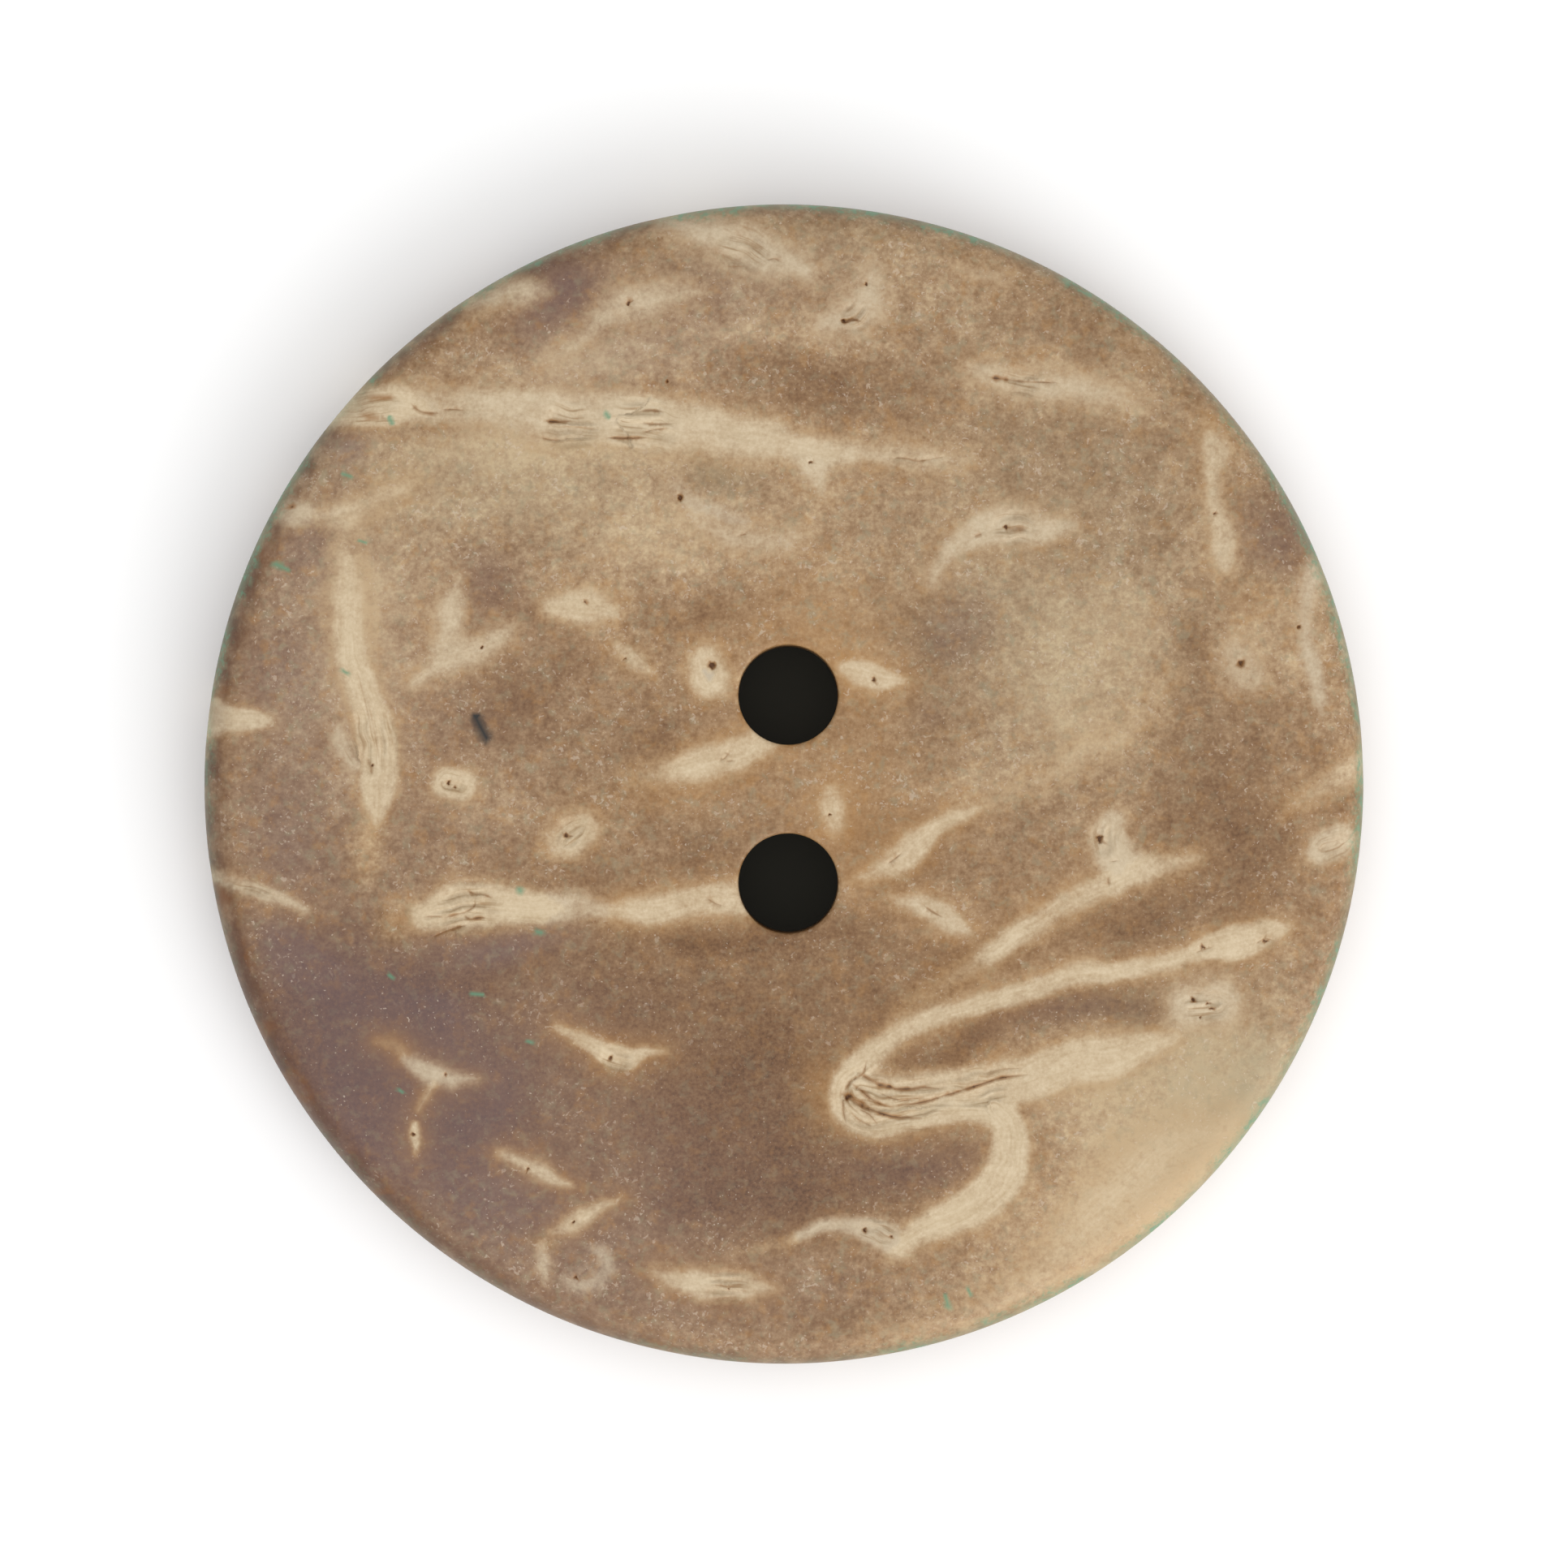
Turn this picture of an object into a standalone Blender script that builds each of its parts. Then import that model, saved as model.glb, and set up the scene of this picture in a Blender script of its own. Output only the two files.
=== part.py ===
"""A sew-on button: one disc turned from coconut shell and drilled with two thread holes.

Metres, +Z up. The back lies on the plane z = 0 with the disc's centre at the origin, and the polished front
faces +Z. The two thread holes stand in a line along Y.
"""

import math

import bmesh
import bpy
from mathutils import Vector

MM = 0.001

# Driving dimensions.
DIAMETER = 25.0 * MM
THICKNESS = 3.0 * MM
HOLE_DIAMETER = 2.15 * MM
HOLE_SPACING = 4.05 * MM
HOLE_PAIR_OFFSET = Vector((0.09, -0.11, 0.0)) * MM  # the drill sat this far off the disc's centre

# The turned outline.
LAND_RADIUS = 8.5 * MM  # the front is flat out to here, where the thread lies
CROWN_DROP = 0.16 * MM  # how far the front falls from the flat land to the rounded edge
FRONT_EDGE_RADIUS = 0.75 * MM
BACK_EDGE_RADIUS = 0.35 * MM

# The drilled holes.
HOLE_BREAK = 0.08 * MM  # tumbling takes the sharp edge off both mouths
CUTTER_OVERRUN = 0.5 * MM

TURNED_STEPS = 144
HOLE_STEPS = 48
CROWN_STEPS = 5
FRONT_EDGE_STEPS = 7
BACK_EDGE_STEPS = 4
SMOOTH_ANGLE = math.radians(35)

SHELL_COLOUR = (0.307, 0.205, 0.128, 1.0)
SHELL_ROUGHNESS = 0.42


def clear_scene():
    for thing in list(bpy.data.objects):
        bpy.data.objects.remove(thing, do_unlink=True)


def new_collection(name):
    collection = bpy.data.collections.new(name)
    bpy.context.scene.collection.children.link(collection)
    return collection


def make_material(name, colour, roughness):
    """Bare polished shell: no paint and no metal."""
    material = bpy.data.materials.new(name)
    material.use_nodes = True
    shader = material.node_tree.nodes["Principled BSDF"]
    shader.inputs["Base Color"].default_value = colour
    shader.inputs["Roughness"].default_value = roughness
    shader.inputs["Metallic"].default_value = 0.0
    return material


def arc(centre, radius, start, end, steps):
    """Points (r, z) along an arc from angle start to angle end, both ends included."""
    angles = [start + (end - start) * i / steps for i in range(steps + 1)]
    return [(centre[0] + radius * math.cos(a), centre[1] + radius * math.sin(a)) for a in angles]


def crown(inner, outer, top, drop, steps):
    """Points (r, z) from just past the flat land to the edge: level where it starts, steepening outwards."""
    shares = [i / steps for i in range(1, steps)]
    return [(inner + (outer - inner) * s, top - drop * s * s) for s in shares]


def button_profile():
    """Half the disc's outline as (r, z), from the front's centre out, down the side and back to the axis."""
    radius = DIAMETER / 2
    edge_r = radius - FRONT_EDGE_RADIUS
    edge_top = THICKNESS - CROWN_DROP
    front = [(0.0, THICKNESS), (LAND_RADIUS, THICKNESS)]
    front += crown(LAND_RADIUS, edge_r, THICKNESS, CROWN_DROP, CROWN_STEPS)
    front_edge = arc(
        (edge_r, edge_top - FRONT_EDGE_RADIUS), FRONT_EDGE_RADIUS, math.pi / 2, 0.0, FRONT_EDGE_STEPS
    )
    back_edge = arc(
        (radius - BACK_EDGE_RADIUS, BACK_EDGE_RADIUS), BACK_EDGE_RADIUS, 0.0, -math.pi / 2, BACK_EDGE_STEPS
    )
    return front + front_edge + back_edge + [(0.0, 0.0)]


def hole_profile():
    """Half the outline of what the drill and the tumbling take away, from the top of the cutter down."""
    bore = HOLE_DIAMETER / 2
    flare = bore + HOLE_BREAK + CUTTER_OVERRUN
    return [
        (0.0, THICKNESS + CUTTER_OVERRUN),
        (flare, THICKNESS + CUTTER_OVERRUN),
        (bore, THICKNESS - HOLE_BREAK),
        (bore, HOLE_BREAK),
        (flare, -CUTTER_OVERRUN),
        (0.0, -CUTTER_OVERRUN),
    ]


def turned(name, profile, steps, collection):
    """An object turned about its own Z from a profile of (r, z) points."""
    mesh = bpy.data.meshes.new(name)
    drawing = bmesh.new()
    verts = [drawing.verts.new((r, 0.0, z)) for r, z in profile]
    for first, second in zip(verts, verts[1:]):
        drawing.edges.new((first, second))
    drawing.to_mesh(mesh)
    drawing.free()
    thing = bpy.data.objects.new(name, mesh)
    collection.objects.link(thing)
    screw = thing.modifiers.new("turning", "SCREW")
    screw.axis = "Z"
    screw.steps = steps
    screw.render_steps = steps
    screw.use_merge_vertices = True
    screw.merge_threshold = 1e-6
    screw.use_normal_calculate = False
    return thing


def drill(target, cutter):
    """Cuts the cutter's shape out of the target."""
    cut = target.modifiers.new("drilled " + cutter.name, "BOOLEAN")
    cut.operation = "DIFFERENCE"
    cut.solver = "EXACT"
    cut.object = cutter
    cutter.hide_render = True
    cutter.display_type = "WIRE"


def make_hole_cutters(collection):
    """One turned cutter for each thread hole, above and below the middle of the pair."""
    cutters = []
    for name, side in (("upper_hole_cutter", 1), ("lower_hole_cutter", -1)):
        cutter = turned(name, hole_profile(), HOLE_STEPS, collection)
        cutter.location = HOLE_PAIR_OFFSET + Vector((0.0, side * HOLE_SPACING / 2, 0.0))
        cutters.append(cutter)
    return cutters


def smooth_round_faces(thing):
    """Shades the turned faces smooth and keeps the hole mouths crisp."""
    bpy.context.view_layer.update()
    solid = bpy.data.meshes.new_from_object(thing.evaluated_get(bpy.context.evaluated_depsgraph_get()))
    thing.modifiers.clear()
    thing.data = solid
    solid.shade_smooth()
    solid.set_sharp_from_angle(angle=SMOOTH_ANGLE)


def make_button():
    parts = new_collection("sew_on_button")
    cutters = new_collection("cutters")
    disc = turned("button_disc", button_profile(), TURNED_STEPS, parts)
    for cutter in make_hole_cutters(cutters):
        drill(disc, cutter)
    smooth_round_faces(disc)
    disc.data.materials.clear()
    disc.data.materials.append(make_material("coconut_shell", SHELL_COLOUR, SHELL_ROUGHNESS))


clear_scene()
make_button()
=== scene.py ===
"""Looks for the sew-on button: polished coconut shell, brown with cream vein bundles, pores and cracks.

The pattern is in millimetres from the disc's centre, in the frame's own axes. Meshes are in metres.
"""

import math
from dataclasses import dataclass

import bpy
import numpy as np
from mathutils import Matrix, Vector, kdtree
from mathutils.geometry import delaunay_2d_cdt


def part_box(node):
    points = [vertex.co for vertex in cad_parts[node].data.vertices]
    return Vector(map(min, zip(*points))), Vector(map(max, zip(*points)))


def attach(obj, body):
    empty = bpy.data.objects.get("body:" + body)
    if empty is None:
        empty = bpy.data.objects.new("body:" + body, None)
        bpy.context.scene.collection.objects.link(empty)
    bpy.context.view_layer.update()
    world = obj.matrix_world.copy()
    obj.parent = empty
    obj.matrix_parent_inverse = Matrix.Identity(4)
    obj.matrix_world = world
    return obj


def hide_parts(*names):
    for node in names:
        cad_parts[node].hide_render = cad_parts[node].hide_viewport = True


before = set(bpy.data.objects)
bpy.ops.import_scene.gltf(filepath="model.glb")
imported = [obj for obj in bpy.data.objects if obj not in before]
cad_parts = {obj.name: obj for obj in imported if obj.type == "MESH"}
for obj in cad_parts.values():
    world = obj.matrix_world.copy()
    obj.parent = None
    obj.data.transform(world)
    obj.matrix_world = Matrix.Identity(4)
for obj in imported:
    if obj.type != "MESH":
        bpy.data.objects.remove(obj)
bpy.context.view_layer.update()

MM = 0.001
LOW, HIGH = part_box("button_disc")
RADIUS = (HIGH.x - LOW.x) / 2 / MM
THICKNESS = (HIGH.z - LOW.z) / MM

# The outline, as the CAD solid has it.
LAND_RADIUS = 8.5
CROWN_DROP = 0.16
FRONT_EDGE_RADIUS = 0.75
BACK_EDGE_RADIUS = 0.35
HOLE_RADIUS = 1.075
HOLE_BREAK = 0.08
HOLE_CENTRES = ((0.09, 1.915), (0.09, -2.135))

# How finely the piece is meshed.
FRONT_SPACING = 0.1
TORN_SPACING = 0.04
BACK_SPACING = 0.32
RING_STEPS = 600
HOLE_STEPS = 72
FRONT_EDGE_ROWS = 8
SIDE_ROWS = 9
BACK_EDGE_ROWS = 3
HOLE_WALL_ROWS = 8


# --- The pattern that the shell grew ---


@dataclass
class Vein:
    """A bundle of fibres cut by the front face."""

    soft: float  # how far its edge fades, in mm
    light: float  # 1 is full cream
    grey: float  # how far it turns from cream to grey
    amber: float  # how strongly it stains the brown beside it
    route: tuple  # (x, y, half width) along it


# Each vein's row: soft, light, grey and amber, then the points of its route.
VEIN_ROWS = {
    # The upper band and what lies above it.
    "upper_band_left": (0.15, 0.96, 0.0, 0.5, (-9.95, 7.9, 0.2), (-9.4, 8.05, 0.34), (-8.8, 8.14, 0.42),
     (-8.3, 8.15, 0.36), (-7.8, 8.1, 0.15)),
    "upper_band": (0.34, 0.78, 0.25, 0.5, (-8.3, 8.1, 0.2), (-7.4, 8.14, 0.34), (-6.4, 8.1, 0.38),
     (-5.2, 7.94, 0.4), (-4.0, 7.82, 0.42), (-3.0, 7.76, 0.4)),
    "upper_band_top_edge": (0.2, 0.5, 0.0, 0.5, (-5.8, 8.36, 0.08), (-5.0, 8.28, 0.12), (-3.9, 8.2, 0.1),
     (-2.9, 8.08, 0.1)),
    "upper_band_low_edge": (0.2, 0.45, 0.0, 0.5, (-5.4, 7.34, 0.07), (-4.3, 7.28, 0.1), (-3.2, 7.32, 0.1)),
    "upper_band_right": (0.32, 0.84, 0.15, 0.5, (-3.4, 7.74, 0.32), (-2.7, 7.7, 0.46), (-2.0, 7.6, 0.5),
     (-1.1, 7.5, 0.46), (-0.2, 7.34, 0.34), (0.6, 7.2, 0.2), (1.4, 7.15, 0.12)),
    "upper_band_tail": (0.26, 0.74, 0.2, 0.5, (0.6, 7.15, 0.14), (1.7, 7.15, 0.18), (2.6, 7.1, 0.3),
     (3.3, 7.0, 0.26), (4.1, 6.98, 0.08)),
    "drop": (0.2, 0.68, 0.3, 0.5, (0.4, 7.1, 0.2), (0.62, 6.85, 0.26), (0.72, 6.5, 0.18), (0.8, 6.2, 0.06)),
    "left_top_oval": (0.2, 0.85, 0.3, 0.5, (-6.8, 10.3, 0.1), (-6.1, 10.48, 0.2), (-5.5, 10.6, 0.24),
     (-5.15, 10.66, 0.1)),
    "top_streak": (0.34, 0.74, 0.3, 0.5, (-5.0, 9.05, 0.06), (-4.3, 9.65, 0.22), (-3.7, 10.1, 0.34),
     (-3.1, 10.35, 0.38), (-2.4, 10.55, 0.24), (-1.9, 10.6, 0.08)),
    "top_patch": (0.34, 0.78, 0.45, 0.5, (-2.6, 12.1, 0.14), (-1.7, 11.85, 0.36), (-0.9, 11.6, 0.48),
     (-0.2, 11.3, 0.42), (0.5, 11.05, 0.2)),
    "top_right_patch": (0.4, 0.74, 0.5, 0.5, (0.9, 9.85, 0.2), (1.5, 10.05, 0.38), (1.8, 10.5, 0.36),
     (1.9, 11.0, 0.14)),
    "far_top_patch": (0.22, 0.5, 0.3, 0.5, (3.8, 10.95, 0.08), (4.4, 10.9, 0.18), (4.9, 10.85, 0.08)),
    # The right side.
    "slit_patch": (0.3, 0.78, 0.35, 0.5, (3.9, 8.95, 0.08), (4.5, 8.76, 0.26), (5.2, 8.62, 0.3),
     (5.9, 8.5, 0.28), (6.7, 8.35, 0.24), (7.6, 8.25, 0.08)),
    "right_rim_patch": (0.3, 0.42, 0.3, 0.5, (7.6, 9.55, 0.12), (7.75, 9.35, 0.15)),
    "right_upright": (0.17, 0.66, 0.15, 0.5, (9.25, 7.5, 0.16), (9.32, 7.2, 0.24), (9.25, 6.6, 0.17),
     (9.3, 6.0, 0.17), (9.42, 5.4, 0.22), (9.45, 4.85, 0.18), (9.5, 4.6, 0.05)),
    "right_thin_arc": (0.18, 0.74, 0.6, 0.5, (11.42, 4.74, 0.1), (11.34, 4.42, 0.2), (11.2, 3.8, 0.16),
     (11.25, 3.2, 0.14), (11.4, 2.6, 0.18), (11.52, 2.0, 0.17), (11.6, 1.6, 0.06)),
    "right_arc": (0.22, 0.84, 0.35, 0.5, (3.1, 4.2, 0.05), (3.5, 4.85, 0.16), (3.9, 5.2, 0.24),
     (4.4, 5.46, 0.33), (5.0, 5.54, 0.37), (5.6, 5.46, 0.3), (6.2, 5.55, 0.1)),
    "right_eye": (0.26, 0.66, 0.4, 0.5, (9.75, 2.8, 0.34), (9.9, 2.4, 0.38)),
    "right_wedge": (0.4, 0.45, 0.0, 0.3, (3.3, -0.85, 0.08), (4.2, -0.42, 0.18), (5.2, -0.1, 0.24),
     (6.4, 0.55, 0.3), (7.6, 1.4, 0.3), (8.3, 2.3, 0.2)),
    "cream_arc": (0.28, 0.68, 0.35, 0.5, (-2.0, 5.75, 0.1), (-1.5, 5.45, 0.2), (-0.9, 5.3, 0.26),
     (-0.2, 5.2, 0.22), (0.4, 5.3, 0.08)),
    "grey_wisp": (0.16, 0.5, 0.9, 0.0, (-2.3, 6.35, 0.08), (-1.85, 5.98, 0.14), (-1.3, 5.82, 0.14),
     (-0.85, 5.66, 0.05)),
    # The left side.
    "left_hook": (0.24, 0.62, 0.0, 0.5, (-10.0, 5.64, 0.1), (-9.5, 5.76, 0.2), (-9.0, 5.95, 0.2),
     (-8.5, 6.25, 0.17), (-7.9, 6.55, 0.07)),
    "left_bead": (0.16, 0.8, 0.4, 0.5, (-10.62, 5.92, 0.26), (-10.4, 5.8, 0.26)),
    "left_long_top": (0.34, 0.42, 0.0, 0.5, (-9.6, 5.6, 0.2), (-9.45, 4.9, 0.24), (-9.4, 4.2, 0.3)),
    "left_long_upper": (0.28, 0.72, 0.0, 0.5, (-9.43, 4.8, 0.14), (-9.42, 4.1, 0.34), (-9.4, 3.5, 0.38),
     (-9.3, 2.9, 0.36), (-9.2, 2.6, 0.2)),
    "left_long": (0.15, 0.84, 0.0, 0.5, (-9.34, 3.3, 0.2), (-9.28, 2.9, 0.3), (-9.12, 2.3, 0.33),
     (-8.93, 1.7, 0.36), (-8.75, 1.1, 0.37), (-8.67, 0.5, 0.34), (-8.67, 0.0, 0.31), (-8.72, -0.5, 0.22),
     (-8.76, -0.85, 0.06)),
    "left_long_knot": (0.15, 0.64, 0.5, 0.5, (-9.55, 1.15, 0.1), (-9.42, 0.75, 0.19), (-9.2, 0.4, 0.12)),
    "fork_upper": (0.2, 0.74, 0.25, 0.5, (-6.95, 4.45, 0.06), (-7.15, 4.0, 0.22), (-7.25, 3.55, 0.27),
     (-7.38, 2.95, 0.22)),
    "fork_lower": (0.2, 0.72, 0.25, 0.5, (-7.9, 2.25, 0.12), (-7.2, 2.62, 0.28), (-6.6, 2.82, 0.3),
     (-6.1, 3.1, 0.2), (-5.8, 3.4, 0.08)),
    "upper_oval": (0.2, 0.8, 0.0, 0.5, (-4.95, 3.85, 0.2), (-4.3, 3.82, 0.36), (-3.7, 3.75, 0.2)),
    "upper_dot": (0.18, 0.78, 0.0, 0.5, (-3.62, 2.92, 0.13), (-3.3, 2.66, 0.22), (-3.05, 2.45, 0.12)),
    "left_rim_wedge": (0.1, 0.86, 0.2, 0.5, (-12.6, 1.42, 0.46), (-12.2, 1.4, 0.38), (-11.8, 1.4, 0.24),
     (-11.4, 1.35, 0.2), (-11.0, 1.32, 0.06)),
    "left_rim_vein": (0.12, 0.8, 0.3, 0.5, (-12.6, -1.86, 0.12), (-12.0, -2.02, 0.14), (-11.4, -2.22, 0.16),
     (-10.9, -2.42, 0.16), (-10.3, -2.66, 0.08)),
    "ring_eye": (0.2, 0.82, 0.0, 0.5, (-7.3, 0.0, 0.3), (-6.95, -0.05, 0.32)),
    # Around the holes.
    "hole_eye": (0.2, 0.92, 0.0, 0.8, (-1.66, 2.62, 0.33), (-1.6, 2.25, 0.38)),
    "hole_eye_flake": (0.06, 1.0, 1.0, 0.5, (-1.68, 2.42, 0.06), (-1.58, 2.33, 0.1), (-1.55, 2.22, 0.04)),
    "middle_eye": (0.22, 0.8, 0.0, 0.6, (-4.68, -1.2, 0.34), (-4.45, -0.95, 0.38)),
    "middle_eye_tail": (0.24, 0.25, 0.0, 0.5, (-5.4, -1.55, 0.04), (-5.0, -1.35, 0.16), (-4.7, -1.15, 0.2)),
    "big_level": (0.2, 0.88, 0.0, 0.5, (-7.6, -2.82, 0.3), (-7.1, -2.71, 0.45), (-6.5, -2.61, 0.44),
     (-5.9, -2.6, 0.36), (-5.3, -2.65, 0.29), (-4.7, -2.66, 0.1)),
    "big_level_middle": (0.2, 0.62, 0.4, 0.5, (-5.6, -2.64, 0.2), (-5.0, -2.64, 0.3), (-4.4, -2.64, 0.28),
     (-3.8, -2.74, 0.1)),
    "big_level_end": (0.2, 0.8, 0.0, 0.9, (-3.8, -2.75, 0.07), (-3.3, -2.74, 0.24), (-2.6, -2.65, 0.31),
     (-2.0, -2.56, 0.33), (-1.4, -2.48, 0.33), (-0.8, -2.44, 0.3)),
    "under_upper_hole": (0.22, 0.86, 0.0, 1.0, (-2.3, 0.32, 0.1), (-1.9, 0.4, 0.25), (-1.3, 0.6, 0.31),
     (-0.8, 0.84, 0.34), (-0.2, 1.1, 0.3)),
    "under_upper_hole_tail": (0.3, 0.55, 0.0, 0.5, (-3.2, 0.26, 0.12), (-2.7, 0.28, 0.22), (-2.2, 0.34, 0.26),
     (-1.8, 0.4, 0.22)),
    "beside_upper_hole": (0.14, 0.82, 0.0, 1.0, (1.3, 2.52, 0.12), (1.6, 2.4, 0.22), (1.95, 2.27, 0.25),
     (2.3, 2.2, 0.18), (2.62, 2.2, 0.04)),
    "between_holes": (0.17, 0.74, 0.0, 1.0, (1.05, -0.25, 0.17), (1.02, -0.6, 0.23), (1.1, -0.9, 0.18)),
    "right_of_lower_hole": (0.16, 0.8, 0.0, 1.0, (1.55, -2.0, 0.04), (2.1, -1.8, 0.18), (2.5, -1.56, 0.26),
     (2.9, -1.22, 0.26), (3.25, -0.94, 0.18), (3.75, -0.68, 0.12), (4.1, -0.56, 0.04)),
    "under_lower_hole": (0.16, 0.78, 0.2, 1.0, (2.3, -2.4, 0.05), (2.6, -2.52, 0.17), (3.0, -2.64, 0.25),
     (3.4, -2.84, 0.27), (3.7, -3.02, 0.22), (3.98, -3.18, 0.08)),
    # The lower right, with its long loop.
    "hook_patch": (0.24, 0.8, 0.3, 0.5, (7.1, -0.85, 0.24), (7.0, -1.15, 0.36), (7.05, -1.5, 0.38),
     (7.2, -1.74, 0.26)),
    "hook": (0.2, 0.76, 0.0, 0.7, (8.8, -1.54, 0.05), (8.2, -1.7, 0.22), (7.5, -1.88, 0.28),
     (6.9, -2.16, 0.26), (6.3, -2.52, 0.27), (5.6, -2.88, 0.26), (4.9, -3.28, 0.23), (4.3, -3.62, 0.1)),
    "hook_corner": (0.24, 0.66, 0.3, 0.5, (7.15, -1.3, 0.2), (7.5, -1.68, 0.24)),
    "hook_end": (0.3, 0.5, 0.0, 1.2, (5.1, -3.1, 0.1), (4.3, -3.72, 0.2), (3.4, -4.4, 0.16),
     (2.5, -5.0, 0.06)),
    "right_rim_vein": (0.28, 0.6, 0.0, 0.5, (10.9, -0.45, 0.04), (11.4, -0.15, 0.18), (11.9, 0.15, 0.26),
     (12.6, 0.6, 0.3)),
    "right_rim_knot": (0.15, 0.84, 0.35, 0.5, (11.6, -1.36, 0.34), (11.95, -1.26, 0.36)),
    "right_rim_knot_tail": (0.18, 0.45, 0.0, 0.5, (10.95, -1.85, 0.03), (11.4, -1.6, 0.14)),
    "loop_top": (0.15, 0.84, 0.0, 0.8, (11.0, -3.05, 0.03), (10.6, -3.15, 0.22), (10.1, -3.3, 0.3),
     (9.6, -3.45, 0.32), (9.0, -3.66, 0.2), (8.3, -3.86, 0.14), (7.4, -4.0, 0.15), (6.4, -4.12, 0.19),
     (5.6, -4.28, 0.2), (4.8, -4.5, 0.2), (4.0, -4.82, 0.19), (3.2, -5.12, 0.19), (2.5, -5.45, 0.2),
     (2.0, -5.75, 0.22), (1.55, -6.05, 0.22)),
    "loop_bend": (0.14, 0.86, 0.0, 0.9, (1.6, -6.05, 0.16), (1.32, -6.35, 0.2), (1.22, -6.8, 0.2),
     (1.48, -7.15, 0.28), (2.1, -7.28, 0.3), (2.9, -7.18, 0.24), (3.8, -7.02, 0.2), (4.5, -7.05, 0.27)),
    "loop_inner": (0.22, 0.9, 0.0, 0.6, (1.7, -6.5, 0.3), (2.4, -6.65, 0.4), (3.2, -6.66, 0.4),
     (4.2, -6.55, 0.44), (5.1, -6.3, 0.42), (6.0, -6.02, 0.45), (6.8, -5.85, 0.45), (7.6, -5.65, 0.35),
     (8.4, -5.45, 0.12)),
    "loop_curl": (0.2, 0.93, 0.0, 0.5, (4.5, -6.95, 0.3), (4.8, -7.4, 0.36), (4.86, -7.9, 0.4),
     (4.74, -8.4, 0.4), (4.38, -8.85, 0.4), (3.8, -9.25, 0.35), (3.2, -9.56, 0.28), (2.75, -9.82, 0.22),
     (2.42, -10.04, 0.12)),
    "curl_tail": (0.16, 0.84, 0.5, 0.5, (2.55, -9.95, 0.16), (2.2, -9.75, 0.25), (1.85, -9.58, 0.26),
     (1.3, -9.48, 0.18), (0.8, -9.55, 0.12), (0.3, -9.68, 0.05)),
    "curl_tail_end": (0.16, 0.42, 0.0, 0.5, (0.9, -9.5, 0.06), (0.2, -9.72, 0.1), (-0.5, -9.95, 0.07),
     (-1.1, -10.1, 0.02)),
    "right_knot": (0.3, 0.86, 0.35, 0.5, (8.75, -4.72, 0.42), (9.35, -4.72, 0.44)),
    "rim_cream": (0.7, 0.62, 0.0, 0.2, (2.2, -12.0, 0.15), (3.4, -11.6, 0.22), (4.8, -11.0, 0.3),
     (6.2, -9.9, 0.5), (7.2, -8.8, 0.7), (8.3, -7.9, 0.6), (9.5, -7.3, 0.3)),
    # The bottom and the lower left.
    "bottom_oval": (0.15, 0.82, 0.15, 0.9, (-2.85, -10.48, 0.05), (-2.3, -10.6, 0.18), (-1.7, -10.7, 0.25),
     (-1.2, -10.8, 0.28), (-0.7, -10.85, 0.2), (-0.25, -10.85, 0.04)),
    "dart": (0.1, 0.9, 0.0, 1.0, (-4.95, -5.25, 0.03), (-4.5, -5.45, 0.09), (-4.1, -5.66, 0.13),
     (-3.7, -5.86, 0.2), (-3.3, -5.88, 0.18), (-2.95, -5.8, 0.09), (-2.6, -5.75, 0.03)),
    "branch_tip": (0.12, 0.3, 0.0, 3.0, (-8.75, -5.5, 0.04), (-8.35, -5.65, 0.1), (-8.1, -5.8, 0.08)),
    "branch": (0.12, 0.76, 0.6, 0.9, (-8.1, -5.9, 0.05), (-7.9, -6.0, 0.1), (-7.6, -6.2, 0.15),
     (-7.2, -6.32, 0.12), (-6.6, -6.4, 0.03)),
    "branch_leg": (0.08, 0.55, 0.0, 1.6, (-7.5, -6.3, 0.1), (-7.68, -6.6, 0.06), (-7.88, -6.95, 0.03)),
    "branch_foot": (0.07, 0.85, 0.0, 0.9, (-7.95, -7.25, 0.03), (-7.93, -7.55, 0.09), (-7.95, -8.0, 0.02)),
    "lower_dash": (0.13, 0.82, 0.2, 0.9, (-6.15, -7.95, 0.03), (-5.7, -8.12, 0.12), (-5.3, -8.3, 0.17),
     (-4.9, -8.48, 0.12), (-4.55, -8.64, 0.03)),
    "lower_leaf": (0.11, 0.78, 0.0, 0.8, (-5.05, -9.58, 0.04), (-4.7, -9.46, 0.1), (-4.3, -9.3, 0.15),
     (-3.9, -9.12, 0.1), (-3.45, -8.93, 0.03)),
    "lower_bead": (0.1, 0.66, 0.5, 0.5, (-5.22, -9.98, 0.08), (-5.2, -10.3, 0.14), (-5.14, -10.6, 0.06)),
    "lower_ring": (0.13, 0.58, 0.8, 0.2, (-4.15, -9.95, 0.04), (-3.88, -10.1, 0.11), (-3.82, -10.38, 0.13),
     (-4.05, -10.7, 0.13), (-4.45, -10.75, 0.11), (-4.74, -10.58, 0.05)),
    "lower_ring_middle": (0.2, 0.2, 0.8, 0.0, (-4.5, -10.4, 0.12), (-4.2, -10.4, 0.16)),
}
VEINS = [Vein(*row[:4], route=row[4:]) for row in VEIN_ROWS.values()]


@dataclass
class Split:
    """An open crack between fibres: a groove along its line. A mark that lies flush has no depth."""

    width: float  # half width, in mm
    depth: float
    line: tuple


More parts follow.
